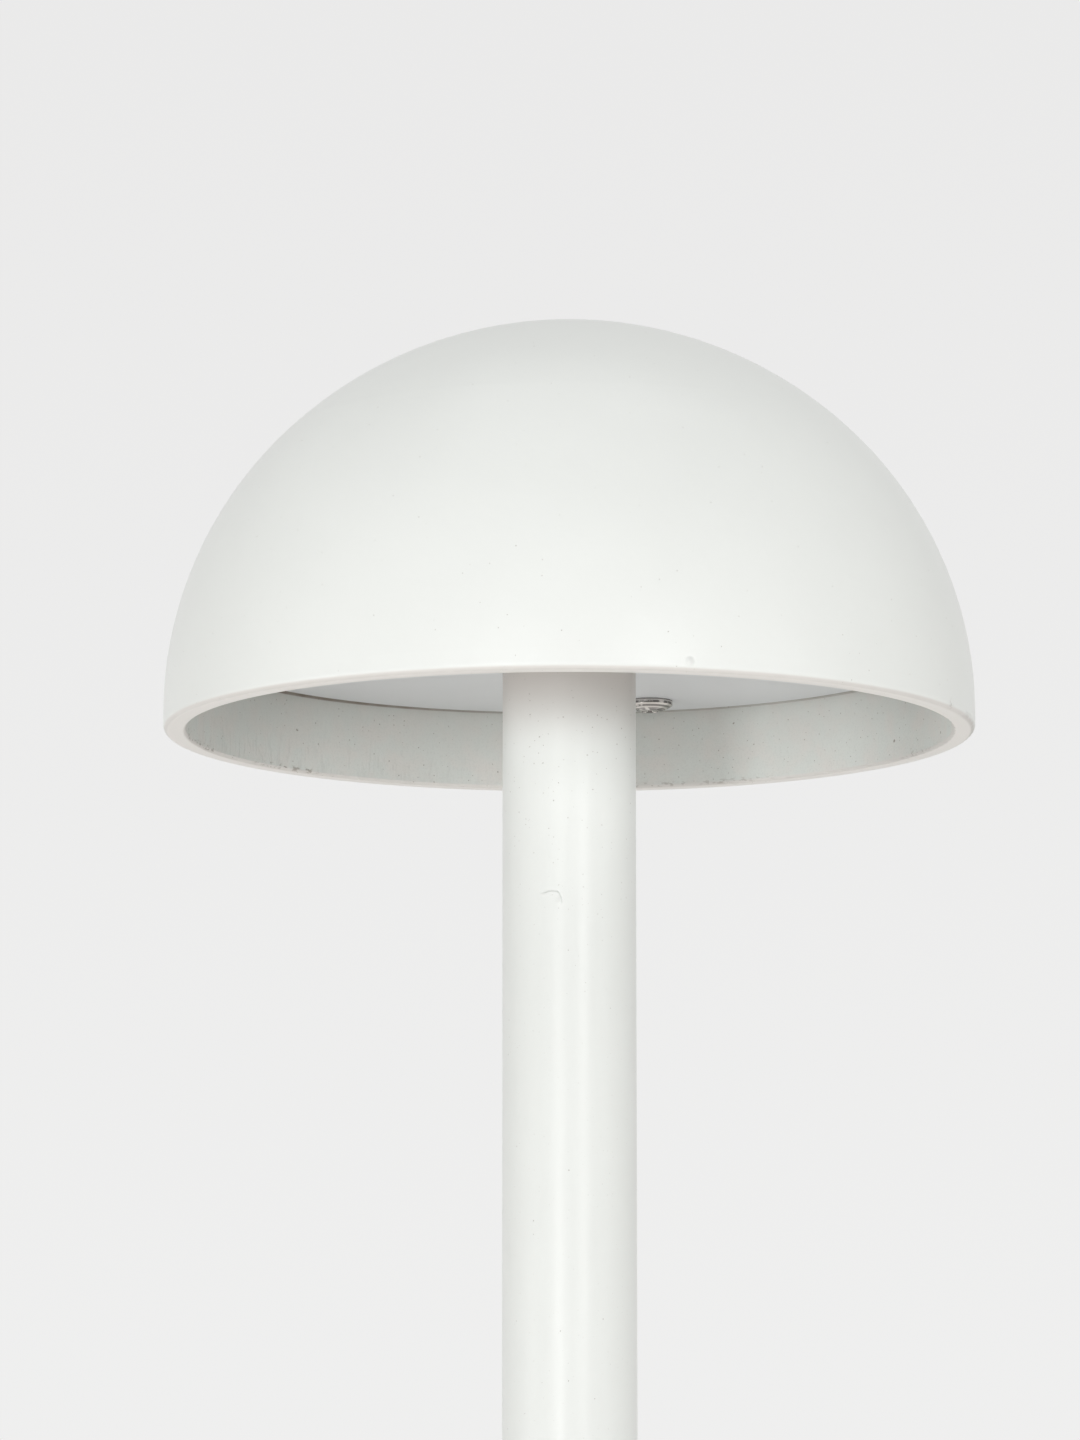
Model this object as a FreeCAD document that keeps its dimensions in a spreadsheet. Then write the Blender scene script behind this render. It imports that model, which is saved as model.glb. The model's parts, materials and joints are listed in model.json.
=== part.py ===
import FreeCAD, Part
import math
import os

import Sketcher
from FreeCAD import Placement, Rotation, Vector

# Mushroom bollard light: a cast dome on a straight pole with a round foot, and a flat opal
# diffuser recessed in the dome. The origin is on the ground at the middle of the foot, +Z is up.

SIZES = {
    # Overall and dome, the height measured from the ground and the dome from its rim
    "overall_height": 610.0,
    "dome_diameter": 203.0,
    "dome_height": 103.8,
    "dome_skirt": 5.0,
    "dome_shoulder_angle": 44.0,
    "dome_wall": 5.6,
    "rim_outer_fillet": 1.6,
    "rim_inner_fillet": 0.8,
    "head_angle": 73.5,
    "post_count": 3,
    # Diffuser and its seat
    "diffuser_recess": 20.1,
    "diffuser_thickness": 3.0,
    "diffuser_edge_gap": 1.2,
    "diffuser_edge_chamfer": 0.4,
    "gasket_thickness": 1.0,
    "gasket_inset": 0.4,
    "ledge_width": 4.5,
    "ledge_thickness": 3.0,
    "diffuser_screw_inset": 16.8,
    "diffuser_screw_diameter": 5.0,
    "diffuser_screw_head_diameter": 11.8,
    "diffuser_screw_head_height": 3.1,
    "diffuser_screw_head_edge": 1.2,
    "diffuser_screw_grip": 11.0,
    "diffuser_post_diameter": 12.0,
    "cross_recess_width": 1.5,
    "cross_recess_span": 5.2,
    "cross_recess_depth": 2.0,
    # Pole, its seal and its hub
    "pole_diameter": 33.4,
    "pole_wall": 2.6,
    "pole_fit_gap": 0.15,
    "seal_gap": 0.1,
    "seal_wall": 2.2,
    "seal_flange_width": 2.5,
    "seal_flange_thickness": 1.5,
    "hub_wall": 9.0,
    "hub_root_fillet": 5.0,
    "hub_crown": 11.0,
    "hub_set_screw_inset": 8.0,
    "set_screw_diameter": 6.0,
    "set_screw_length": 8.0,
    "set_screw_key": 3.0,
    "set_screw_key_depth": 3.0,
    # Light source and gear
    "lamp_chamber": 16.0,
    "tray_thickness": 2.0,
    "tray_lip": 6.0,
    "tray_pole_gap": 3.0,
    "tray_lip_gap": 1.2,
    "tray_screw_diameter": 4.0,
    "tray_screw_head_diameter": 8.0,
    "tray_screw_head_height": 2.4,
    "tray_screw_grip": 10.0,
    "tray_post_diameter": 9.0,
    "board_tray_inset": 2.3,
    "board_tray_screw_gap": 0.8,
    "board_thickness": 1.6,
    "board_screw_chip_gap": 0.75,
    "board_screw_diameter": 3.0,
    "board_screw_head_diameter": 6.0,
    "board_screw_head_height": 1.8,
    "chip_count": 18,
    "chip_terminal_gap": 1.6,
    "chip_edge_gap": 2.25,
    "chip_length": 3.5,
    "chip_width": 2.8,
    "chip_height": 0.8,
    "terminal_length": 6.0,
    "terminal_width": 7.0,
    "terminal_height": 5.0,
    "terminal_wire_depth": 2.5,
    "terminal_hole_gap": 3.5,
    "driver_pole_gap": 17.3,
    "driver_width": 20.0,
    "driver_length": 44.0,
    "driver_height": 16.0,
    "driver_corner_radius": 3.0,
    "driver_top_fillet": 1.5,
    "driver_ear_length": 7.0,
    "driver_ear_width": 10.0,
    "driver_ear_thickness": 2.5,
    "driver_screw_diameter": 3.5,
    "driver_screw_head_diameter": 6.0,
    "driver_screw_head_height": 2.0,
    # Wiring
    "supply_lead_diameter": 5.0,
    "supply_lead_wall_gap": 3.1,
    "supply_lead_bush_gap": 0.5,
    "supply_lead_slant_start": 60.0,
    "supply_lead_slant_end": 110.0,
    "supply_lead_slant_bend": 300.0,
    "wire_hole_diameter": 10.0,
    "wire_gap": 0.1,
    "bush_gap": 0.1,
    "bush_clearance": 3.0,
    "bush_flange_diameter": 13.0,
    "bush_flange_thickness": 1.5,
    "connector_level": 45.0,
    "connector_length": 62.0,
    "connector_bore_gap": 2.1,
    "connector_nut_wall": 1.5,
    "connector_nut_length": 18.0,
    "connector_neck_wall": 3.5,
    "connector_neck_length": 10.0,
    "connector_bore": 9.0,
    "connector_bore_depth": 14.0,
    "connector_lead_depth": 8.0,
    "led_lead_diameter": 1.8,
    "led_lead_spacing": 3.2,
    "led_lead_side": 14.0,
    "led_lead_height": 6.0,
    "led_lead_reach": 8.5,
    "led_lead_hole_diameter": 7.0,
    "led_lead_bend": 2.4,
    "earth_side": 15.0,
    "earth_reach": 10.0,
    "earth_tag_diameter": 8.0,
    "earth_tag_thickness": 0.8,
    "earth_tongue_length": 1.5,
    "earth_barrel_length": 3.0,
    "earth_barrel_wall": 0.6,
    "earth_lead_diameter": 2.0,
    "earth_screw_diameter": 4.0,
    "earth_screw_head_diameter": 7.0,
    "earth_screw_head_height": 2.4,
    # Foot
    "foot_diameter": 140.0,
    "foot_thickness": 8.0,
    "foot_edge_fillet": 2.5,
    "collar_wall": 8.0,
    "collar_height": 36.0,
    "collar_root_fillet": 6.0,
    "collar_top_fillet": 1.5,
    "pole_seat_level": 6.0,
    "anchor_edge_distance": 18.0,
    "anchor_hole_diameter": 9.0,
    "anchor_hole_chamfer": 0.8,
    "anchor_count": 4,
    "anchor_angle": 45.0,
    "collar_screw_inset": 12.0,
    "cable_bore": 8.0,
    "cable_web": 3.1,
    "cable_flange_gap": 0.6,
    "cable_flange_thickness": 2.0,
    "cable_recess_width": 6.0,
    "cable_recess_depth": 2.5,
    "cable_recess_gap": 0.5,
    # Shared clearances
    "thread_gap": 0.05,
    "screw_hole_gap": 0.25,
}

doc = FreeCAD.newDocument("mushroom_bollard_light")
sheet = doc.addObject("Spreadsheet::Sheet", "Sheet")
for row, (alias, number) in enumerate(SIZES.items(), start=1):
    sheet.set(f"A{row}", alias)
    sheet.set(f"B{row}", str(number))
    sheet.setAlias(f"B{row}", alias)
doc.recompute()


class Size:
    """A size: its number draws the geometry and its text binds that geometry to the sheet."""

    def __init__(self, number, text):
        self.number = number
        self.text = text

    def __add__(self, other):
        other = as_size(other)
        return Size(self.number + other.number, f"({self.text} + {other.text})")

    def __sub__(self, other):
        other = as_size(other)
        return Size(self.number - other.number, f"({self.text} - {other.text})")

    def __rsub__(self, other):
        return as_size(other) - self

    def __mul__(self, other):
        other = as_size(other)
        return Size(self.number * other.number, f"({self.text} * {other.text})")

    def __truediv__(self, other):
        other = as_size(other)
        return Size(self.number / other.number, f"({self.text} / {other.text})")

    def __rtruediv__(self, other):
        return as_size(other) / self

    def __neg__(self):
        return Size(-self.number, f"(-{self.text})")

    __radd__ = __add__
    __rmul__ = __mul__


def as_size(value):
    """A plain number as a Size."""
    if isinstance(value, Size):
        return value
    return Size(float(value), repr(float(value)))


def root(size):
    """Square root of a Size."""
    return Size(math.sqrt(size.number), f"sqrt({size.text})")


def leg(hypotenuse, side):
    """Other leg of a right triangle."""
    return root(hypotenuse * hypotenuse - side * side)


def sine(degrees):
    """Sine of an angle in degrees."""
    return Size(math.sin(math.radians(degrees.number)), f"sin({degrees.text})")


def cosine(degrees):
    """Cosine of an angle in degrees."""
    return Size(math.cos(math.radians(degrees.number)), f"cos({degrees.text})")


def tangent(degrees):
    """Tangent of an angle in degrees."""
    return Size(math.tan(math.radians(degrees.number)), f"tan({degrees.text})")


class Cells:
    """The sheet's cells as sizes, by alias."""

    def __getattr__(self, alias):
        return Size(float(SIZES[alias]), f"Sheet.{alias}")


s = Cells()


def bind(item, prop, value):
    """Binds a property to a size; a plain number stays as it is."""
    if isinstance(value, Size):
        item.setExpression(prop, value.text)


def new_body(label, level=0.0, turn=0.0):
    """An empty body whose origin is on the pole's axis, at a level and turned about that axis."""
    body = doc.addObject("PartDesign::Body", label)
    body.Label = label
    turned = Rotation(Vector(0, 0, 1), as_size(turn).number)
    body.Placement = Placement(Vector(0, 0, as_size(level).number), turned)
    bind(body, "Placement.Base.z", level)
    bind(body, "Placement.Rotation.Angle", turn)
    return body


def origin_feature(body, role):
    """A plane or axis of the body's origin."""
    return next(feature for feature in body.Origin.OriginFeatures if feature.Role == role)


def new_sketch(body, name, plane, shift=(0.0, 0.0, 0.0)):
    """A sketch on one of the body's origin planes, shifted in the sketch's own axes."""
    sketch = body.newObject("Sketcher::SketchObject", name)
    sketch.AttachmentSupport = [(origin_feature(body, plane), "")]
    sketch.MapMode = "FlatFace"
    sketch.AttachmentOffset = Placement(Vector(*(as_size(v).number for v in shift)), Rotation())
    for axis, value in zip("xyz", shift):
        bind(sketch, f"AttachmentOffset.Base.{axis}", value)
    return sketch


def dimension_point(sketch, geometry, position, point):
    """Dimensions a point from the sketch's origin, along both of its axes."""
    for kind, axis, value in (("DistanceX", -2, point[0]), ("DistanceY", -1, point[1])):
        value = as_size(value)
        if value.number == 0:
            sketch.addConstraint(Sketcher.Constraint("PointOnObject", geometry, position, axis))
            continue
        if value.number > 0:
            ends = (-1, 1, geometry, position)
        else:
            ends = (geometry, position, -1, 1)
            value = -value
        index = sketch.addConstraint(Sketcher.Constraint(kind, *ends, value.number))
        bind(sketch, f"Constraints[{index}]", value)


def arc_between(start, end, radius, turn):
    """The short arc from start to end; turn 1 bends left of the way it runs and -1 bends right."""
    chord = end - start
    left = Vector(-chord.y, chord.x, 0).normalize()
    reach = math.sqrt(max(radius**2 - (chord.Length / 2) ** 2, 0.0))
    centre = (start + end) * 0.5 + left * (reach * turn)
    first, last = (start, end) if turn > 0 else (end, start)
    angles = [math.atan2(p.y - centre.y, p.x - centre.x) for p in (first, last)]
    return Part.ArcOfCircle(Part.Circle(centre, Vector(0, 0, 1), radius), *angles)


def outline(sketch, corners, closed=True):
    """Draws lines and arcs through corners.

    A corner is (x, y), or (x, y, radius, turn) where an arc of that radius ends.
    """
    points = [Vector(as_size(c[0]).number, as_size(c[1]).number, 0) for c in corners]
    count = len(corners)
    ends = []
    for index in range(count if closed else count - 1):
        after = (index + 1) % count
        if len(corners[after]) == 2:
            edge = Part.LineSegment(points[index], points[after])
            ends.append((sketch.addGeometry(edge), 1, 2))
            continue
        radius, turn = corners[after][2:]
        radius = as_size(radius)
        edge = arc_between(points[index], points[after], radius.number, turn)
        geometry = sketch.addGeometry(edge)
        ends.append((geometry, 1, 2) if turn > 0 else (geometry, 2, 1))
        constraint = sketch.addConstraint(Sketcher.Constraint("Radius", geometry, radius.number))
        bind(sketch, f"Constraints[{constraint}]", radius)
    for index, (geometry, first, last) in enumerate(ends):
        dimension_point(sketch, geometry, first, corners[index])
        if index + 1 < len(ends) or closed:
            following, begins, _ = ends[(index + 1) % len(ends)]
            sketch.addConstraint(Sketcher.Constraint("Coincident", geometry, last, following, begins))
        else:
            dimension_point(sketch, geometry, last, corners[-1])
    return sketch


def circle(sketch, x, y, radius):
    """Adds a circle to a sketch."""
    centre = Vector(as_size(x).number, as_size(y).number, 0)
    radius = as_size(radius)
    geometry = sketch.addGeometry(Part.Circle(centre, Vector(0, 0, 1), radius.number))
    constraint = sketch.addConstraint(Sketcher.Constraint("Radius", geometry, radius.number))
    bind(sketch, f"Constraints[{constraint}]", radius)
    dimension_point(sketch, geometry, 3, (x, y))
    return sketch


def rectangle(sketch, x, y, width, depth):
    """Adds a rectangle with one corner at x, y to a sketch."""
    right = x + width
    top = y + depth
    return outline(sketch, [(x, y), (right, y), (right, top), (x, top)])


def revolve(body, sketch, axis="V_Axis"):
    """Turns a sketch about one of its own axes."""
    feature = body.newObject("PartDesign::Revolution", f"{sketch.Name}_turned")
    feature.Profile = sketch
    feature.ReferenceAxis = (sketch, [axis])
    feature.Angle = 360
    return feature


def groove(body, sketch):
    """Cuts a sketch turned about its own vertical axis."""
    feature = body.newObject("PartDesign::Groove", f"{sketch.Name}_grooved")
    feature.Profile = sketch
    feature.ReferenceAxis = (sketch, ["V_Axis"])
    feature.Angle = 360
    return feature


def pad(body, sketch, length, backwards=False):
    """Raises a sketch along its normal."""
    feature = body.newObject("PartDesign::Pad", f"{sketch.Name}_raised")
    feature.Profile = sketch
    bind(feature, "Length", length)
    feature.Reversed = backwards
    return feature


def pocket(body, sketch, depth=None, upwards=True):
    """Cuts a sketch along its normal, or against it, to a depth or through all."""
    feature = body.newObject("PartDesign::Pocket", f"{sketch.Name}_cut")
    feature.Profile = sketch
    feature.Reversed = upwards
    if depth is None:
        feature.Type = "ThroughAll"
    else:
        bind(feature, "Length", depth)
    return feature


def pipe(body, profile, route):
    """Sweeps a profile along a route."""
    feature = body.newObject("PartDesign::AdditivePipe", f"{profile.Name}_swept")
    feature.Profile = profile
    feature.Spine = route
    return feature


def ring_of(body, features, count):
    """Repeats features evenly about the body's Z axis."""
    pattern = body.newObject("PartDesign::PolarPattern", f"{features[0].Name}_ring")
    pattern.Originals = features
    pattern.Axis = (origin_feature(body, "Z_Axis"), [""])
    pattern.Angle = 360
    bind(pattern, "Occurrences", count)
    body.Tip = pattern
    return pattern


def turned_ring(label, level, inner, outer, thickness, turn=0.0):
    """A flat ring about the pole's axis."""
    body = new_body(label, level, turn)
    rectangle_sketch = new_sketch(body, f"{label}_section", "XZ_Plane")
    rectangle(rectangle_sketch, inner, as_size(0), outer - inner, thickness)
    revolve(body, rectangle_sketch)
    return body


def domed_screw(body, name, place, head, shank, edge, head_up=False):
    """A screw with a domed head, whose lowest point is at place.

    Head and shank are (radius, length), and edge is the height of the head's straight rim.
    """
    profile = new_sketch(body, name, "XZ_Plane", (place[0], 0.0, -as_size(place[1])))
    head_radius, head_height = head
    shank_radius, shank_length = shank
    rise = head_height - edge
    bend = (head_radius * head_radius + rise * rise) / (rise * 2)
    if head_up:
        corners = [
            (0, 0),
            (shank_radius, 0),
            (shank_radius, shank_length),
            (head_radius, shank_length),
            (head_radius, shank_length + edge),
            (0, shank_length + head_height, bend, 1),
        ]
    else:
        corners = [
            (0, 0),
            (head_radius, rise, bend, 1),
            (head_radius, head_height),
            (shank_radius, head_height),
            (shank_radius, head_height + shank_length),
            (0, head_height + shank_length),
        ]
    return revolve(body, outline(profile, corners))


def set_screw(body, name, level):
    """A grub screw that bears on the pole along X, with a hexagon socket in its outer end."""
    outer = pole_radius + s.set_screw_length
    profile = new_sketch(body, name, "XZ_Plane", (0.0, level, 0.0))
    thread = s.set_screw_diameter / 2 - s.thread_gap
    rectangle(profile, pole_radius, as_size(0), s.set_screw_length, thread)
    screw = revolve(body, profile, "H_Axis")
    key = new_sketch(body, f"{name}_key", "YZ_Plane", (0.0, level, outer))
    half = s.set_screw_key / 2
    corner = s.set_screw_key / math.sqrt(3)
    shoulder = corner / 2
    outline(
        key,
        [
            (half, -shoulder),
            (half, shoulder),
            (0, corner),
            (-half, shoulder),
            (-half, -shoulder),
            (0, -corner),
        ],
    )
    return [screw, pocket(body, key, s.set_screw_key_depth, upwards=False)]


def rounded_route(points, radii):
    """Corners of a route whose inner points are rounded to the radii, for outline()."""
    route = [points[0]]
    for before, point, after, radius in zip(points, points[1:], points[2:], radii):
        arriving = [b - p for b, p in zip(before, point)]
        leaving = [a - p for a, p in zip(after, point)]
        arriving_length = root(arriving[0] * arriving[0] + arriving[1] * arriving[1])
        leaving_length = root(leaving[0] * leaving[0] + leaving[1] * leaving[1])
        arriving = [value / arriving_length for value in arriving]
        leaving = [value / leaving_length for value in leaving]
        between = arriving[0] * leaving[0] + arriving[1] * leaving[1]
        trim = radius * root((1 + between) / (1 - between))
        side = leaving[0] * arriving[1] - leaving[1] * arriving[0]
        route.append(tuple(p + d * trim for p, d in zip(point, arriving)))
        end = tuple(p + d * trim for p, d in zip(point, leaving))
        route.append((*end, radius, 1 if side.number > 0 else -1))
    route.append(points[-1])
    return route


# Levels above the rim, levels above the ground and turns that several pieces share
rim_level = s.overall_height - s.dome_height
seat = s.diffuser_recess + s.diffuser_thickness
ledge_level = seat + s.gasket_thickness
tray_top = seat + s.lamp_chamber + s.tray_thickness
wire_height = s.bush_flange_diameter / 2 + s.bush_clearance
hub_bottom = tray_top + wire_height * 2
hub_screw_height = hub_bottom + s.hub_set_screw_inset
socket_top = s.dome_height - s.hub_crown
diffuser_level = rim_level + s.diffuser_recess
gear_level = rim_level + tray_top
tray_level = gear_level - s.tray_thickness
board_level = tray_level - s.board_thickness
wire_level = gear_level + wire_height
gear_turn = s.head_angle - 180 / s.post_count

# Dome profile: a short upright skirt, a shoulder arc and a crown arc that meet at one angle
dome_radius = s.dome_diameter / 2
dome_rise = s.dome_height - s.dome_skirt
half_turn = tangent(s.dome_shoulder_angle / 2)
shoulder_radius = (dome_rise - dome_radius * half_turn) / (1 - half_turn)
shoulder_offset = dome_radius - shoulder_radius
crown_radius = shoulder_radius + shoulder_offset / sine(s.dome_shoulder_angle)
crown_centre = s.dome_height - crown_radius
inner_shoulder = shoulder_radius - s.dome_wall
inner_crown = crown_radius - s.dome_wall


def on_crown(radius):
    """Where a crown arc of this radius meets its shoulder arc."""
    across = radius * sine(s.dome_shoulder_angle)
    up = crown_centre + radius * cosine(s.dome_shoulder_angle)
    return across, up


def inner_radius_at(level):
    """Radius of the dome's inner wall at a level above its rim, below the crown arc."""
    return shoulder_offset + leg(inner_shoulder, level - s.dome_skirt)


# Radii about the pole's axis, from the pole outwards and from the dome inwards
pole_radius = s.pole_diameter / 2
pole_bore = pole_radius - s.pole_wall
pole_clear = pole_radius + s.pole_fit_gap
hub_radius = pole_clear + s.hub_wall
collar_radius = pole_clear + s.collar_wall
foot_radius = s.foot_diameter / 2
diffuser_radius = inner_radius_at(seat) - s.diffuser_edge_gap
diffuser_hole = pole_radius + s.seal_gap + s.seal_wall
diffuser_screw_circle = diffuser_radius - s.diffuser_screw_inset
ledge_radius = diffuser_radius - s.ledge_width

# The gear's own frame has the driver along +X, its ears to either side, and the wires between
driver_face = pole_radius + s.driver_pole_gap
driver_middle = driver_face + s.driver_width / 2
driver_screw_reach = s.driver_length / 2 + s.driver_ear_length / 2
driver_screw_sides = (driver_screw_reach, -driver_screw_reach)
wire_sides = (s.led_lead_spacing / 2 - s.led_lead_side, -s.led_lead_spacing / 2 - s.led_lead_side)
wire_hole_place = (driver_face - s.led_lead_reach, -s.led_lead_side)
terminal_face = wire_hole_place[0] + s.terminal_hole_gap
terminal_back = terminal_face + s.terminal_length
terminal_side = s.led_lead_side + s.terminal_width / 2
earth_place = (driver_face - s.earth_reach, s.earth_side)
earth_lead_height = s.earth_lead_diameter / 2 + s.earth_barrel_wall
bush_inside = leg(pole_bore, s.bush_flange_diameter / 2)
lead_radius = s.supply_lead_diameter / 2

# The tray and board clear the pole, the chips clear the terminal, and the tray's screws the board
tray_hole = pole_radius + s.tray_pole_gap
board_inner = tray_hole + s.board_tray_inset
terminal_reach = root(terminal_back * terminal_back + terminal_side * terminal_side)
chip_inside = terminal_reach + s.chip_terminal_gap
board_outer = chip_inside + s.chip_length + s.chip_edge_gap
board_screw_circle = chip_inside - s.board_screw_chip_gap - s.board_screw_head_diameter / 2
tray_screw_circle = board_outer + s.board_tray_screw_gap + s.tray_screw_head_diameter / 2
lip_inside = tray_screw_circle + s.tray_screw_head_diameter / 2 + s.tray_lip_gap
tray_radius = lip_inside + s.tray_thickness


def dome_solid():
    """The dome as a full solid, with a rounded outer rim."""
    body = new_body("dome_solid", rim_level, s.head_angle)
    profile = new_sketch(body, "dome_profile", "XZ_Plane")
    outline(
        profile,
        [
            (0, 0),
            (dome_radius - s.rim_outer_fillet, 0),
            (dome_radius, s.rim_outer_fillet, s.rim_outer_fillet, 1),
            (dome_radius, s.dome_skirt),
            (*on_crown(crown_radius), shoulder_radius, 1),
            (0, s.dome_height, crown_radius, 1),
        ],
    )
    revolve(body, profile)
    return body


def dome_core():
    """The hollow of the dome: its cavity round the hub, less the posts, with their screw holes."""
    body = new_body("dome_core", rim_level, s.head_angle)
    profile = new_sketch(body, "core_profile", "XZ_Plane")
    mouth = dome_radius - s.dome_wall
    ledge_end = ledge_level + s.ledge_thickness + s.ledge_width
    fillet_radius = hub_radius + s.hub_root_fillet
    fillet_arc = inner_crown - s.hub_root_fillet
    fillet_level = crown_centre + leg(fillet_arc, fillet_radius)
    root_across = fillet_radius * inner_crown / fillet_arc
    root_up = crown_centre + (fillet_level - crown_centre) * inner_crown / fillet_arc
    outline(
        profile,
        [
            (0, 0),
            (mouth + s.rim_inner_fillet, 0),
            (mouth, s.rim_inner_fillet, s.rim_inner_fillet, -1),
            (mouth, s.dome_skirt),
            (inner_radius_at(ledge_level), ledge_level, inner_shoulder, 1),
            (ledge_radius, ledge_level),
            (ledge_radius, ledge_level + s.ledge_thickness),
            (inner_radius_at(ledge_end), ledge_end),
            (*on_crown(inner_crown), inner_shoulder, 1),
            (root_across, root_up, inner_crown, 1),
            (hub_radius, fillet_level, s.hub_root_fillet, 1),
            (hub_radius, hub_bottom),
            (pole_clear, hub_bottom),
            (pole_clear, socket_top),
            (0, socket_top),
        ],
    )
    revolve(body, profile)
    posts = []
    for name, radius, level, diameter in (
        ("diffuser_posts", diffuser_screw_circle, seat, s.diffuser_post_diameter),
        ("tray_posts", tray_screw_circle, tray_top, s.tray_post_diameter),
    ):
        sketch = new_sketch(body, name, "XY_Plane", (0.0, 0.0, level))
        posts.append(pocket(body, circle(sketch, radius, 0, diameter / 2)))
    ring_of(body, posts, s.post_count)
    pins = []
    for name, radius, level, diameter, depth in (
        ("post_holes", diffuser_screw_circle, seat, s.diffuser_screw_diameter, s.diffuser_screw_grip),
        ("tray_post_holes", tray_screw_circle, tray_top, s.tray_screw_diameter, s.tray_screw_grip),
    ):
        sketch = new_sketch(body, name, "XY_Plane", (0.0, 0.0, level))
        pins.append(pad(body, circle(sketch, radius, 0, diameter / 2 + s.thread_gap), depth))
    sketch = new_sketch(body, "set_screw_holes", "YZ_Plane")
    circle(sketch, 0, hub_screw_height, s.set_screw_diameter / 2)
    pins.append(pad(body, sketch, hub_radius + s.hub_root_fillet, backwards=True))
    ring_of(body, pins, s.post_count)
    return body


def dome_shade():
    """The cast shade: the full dome less its core."""
    shade = doc.addObject("Part::Cut", "dome_shade")
    shade.Label = "dome_shade"
    shade.Base = dome_solid()
    shade.Tool = dome_core()
    return shade


def hub_set_screws():
    """Grub screws in the hub, flush with its side."""
    body = new_body("hub_set_screws", rim_level, gear_turn)
    screw = set_screw(body, "hub_screw", hub_screw_height)
    ring_of(body, screw, s.post_count)
    return body


def diffuser_disc():
    """The opal disc, with chamfered edges, a hole for the pole and three screw holes."""
    body = new_body("diffuser_disc", diffuser_level, s.head_angle)
    profile = new_sketch(body, "disc_profile", "XZ_Plane")
    chamfer = s.diffuser_edge_chamfer
    outline(
        profile,
        [
            (diffuser_hole, 0),
            (diffuser_radius - chamfer, 0),
            (diffuser_radius, chamfer),
            (diffuser_radius, s.diffuser_thickness - chamfer),
            (diffuser_radius - chamfer, s.diffuser_thickness),
            (diffuser_hole, s.diffuser_thickness),
        ],
    )
    revolve(body, profile)
    sketch = new_sketch(body, "disc_holes", "XY_Plane")
    circle(sketch, diffuser_screw_circle, 0, s.diffuser_screw_diameter / 2 + s.screw_hole_gap)
    ring_of(body, [pocket(body, sketch)], s.post_count)
    return body


def diffuser_gasket():
    """Flat ring squeezed between the disc and the ledge."""
    inner = ledge_radius + s.gasket_inset
    outer = diffuser_radius - s.diffuser_edge_chamfer - s.gasket_inset
    return turned_ring("diffuser_gasket", rim_level + seat, inner, outer, s.gasket_thickness)


def diffuser_screws():
    """Truss-head screws with a cross recess, through the disc into the posts."""
    body = new_body("diffuser_screws", diffuser_level - s.diffuser_screw_head_height, s.head_angle)
    screw = domed_screw(
        body,
        "truss_screw",
        (diffuser_screw_circle, 0.0),
        (s.diffuser_screw_head_diameter / 2, s.diffuser_screw_head_height),
        (s.diffuser_screw_diameter / 2, s.diffuser_thickness + s.diffuser_screw_grip),
        s.diffuser_screw_head_edge,
    )
    recess = new_sketch(body, "cross_recess", "XY_Plane", (diffuser_screw_circle, 0.0, 0.0))
    arm = s.cross_recess_width / 2
    reach = s.cross_recess_span / 2
    outline(
        recess,
        [
            (reach, -arm),
            (reach, arm),
            (arm, arm),
            (arm, reach),
            (-arm, reach),
            (-arm, arm),
            (-reach, arm),
            (-reach, -arm),
            (-arm, -arm),
            (-arm, -reach),
            (arm, -reach),
            (arm, -arm),
        ],
    )
    ring_of(body, [screw, pocket(body, recess, s.cross_recess_depth)], s.post_count)
    return body


def pole_seal():
    """Silicone ring with two flanges that grips the disc round the pole."""
    body = new_body("pole_seal", diffuser_level - s.seal_flange_thickness)
    profile = new_sketch(body, "seal_profile", "XZ_Plane")
    inner = pole_radius + s.seal_gap
    flange = diffuser_hole + s.seal_flange_width
    low = s.seal_flange_thickness
    high = low + s.diffuser_thickness
    outline(
        profile,
        [
            (inner, 0),
            (flange, 0),
            (flange, low),
            (diffuser_hole, low),
            (diffuser_hole, high),
            (flange, high),
            (flange, high + low),
            (inner, high + low),
        ],
    )
    revolve(body, profile)
    return body


def gear_tray():
    """Round tray with a turned-down lip, screwed to the tray posts."""
    body = new_body("gear_tray", tray_level - s.tray_lip, gear_turn)
    profile = new_sketch(body, "tray_profile", "XZ_Plane")
    top = s.tray_lip + s.tray_thickness
    outline(
        profile,
        [
            (tray_hole, s.tray_lip),
            (lip_inside, s.tray_lip),
            (lip_inside, 0),
            (tray_radius, 0),
            (tray_radius, top),
            (tray_hole, top),
        ],
    )
    revolve(body, profile)
    screws = new_sketch(body, "tray_holes", "XY_Plane")
    circle(screws, -tray_screw_circle, 0, s.tray_screw_diameter / 2 + s.screw_hole_gap)
    board = new_sketch(body, "board_thread_holes", "XY_Plane")
    circle(board, -board_screw_circle, 0, s.board_screw_diameter / 2 + s.thread_gap)
    ring_of(body, [pocket(body, screws), pocket(body, board)], s.post_count)
    others = new_sketch(body, "gear_holes", "XY_Plane")
    circle(others, *wire_hole_place, s.led_lead_hole_diameter / 2)
    circle(others, *earth_place, s.earth_screw_diameter / 2 + s.thread_gap)
    for side in driver_screw_sides:
        circle(others, driver_middle, side, s.driver_screw_diameter / 2 + s.thread_gap)
    pocket(body, others)
    return body


def gear_tray_screws():
    """Pan-head screws through the tray into the tray posts."""
    height = s.tray_screw_head_height
    body = new_body("gear_tray_screws", tray_level - height, gear_turn)
    screw = domed_screw(
        body,
        "tray_screw",
        (-tray_screw_circle, 0.0),
        (s.tray_screw_head_diameter / 2, height),
        (s.tray_screw_diameter / 2, s.tray_thickness + s.tray_screw_grip),
        height / 2,
    )
    ring_of(body, [screw], s.post_count)
    return body


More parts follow.
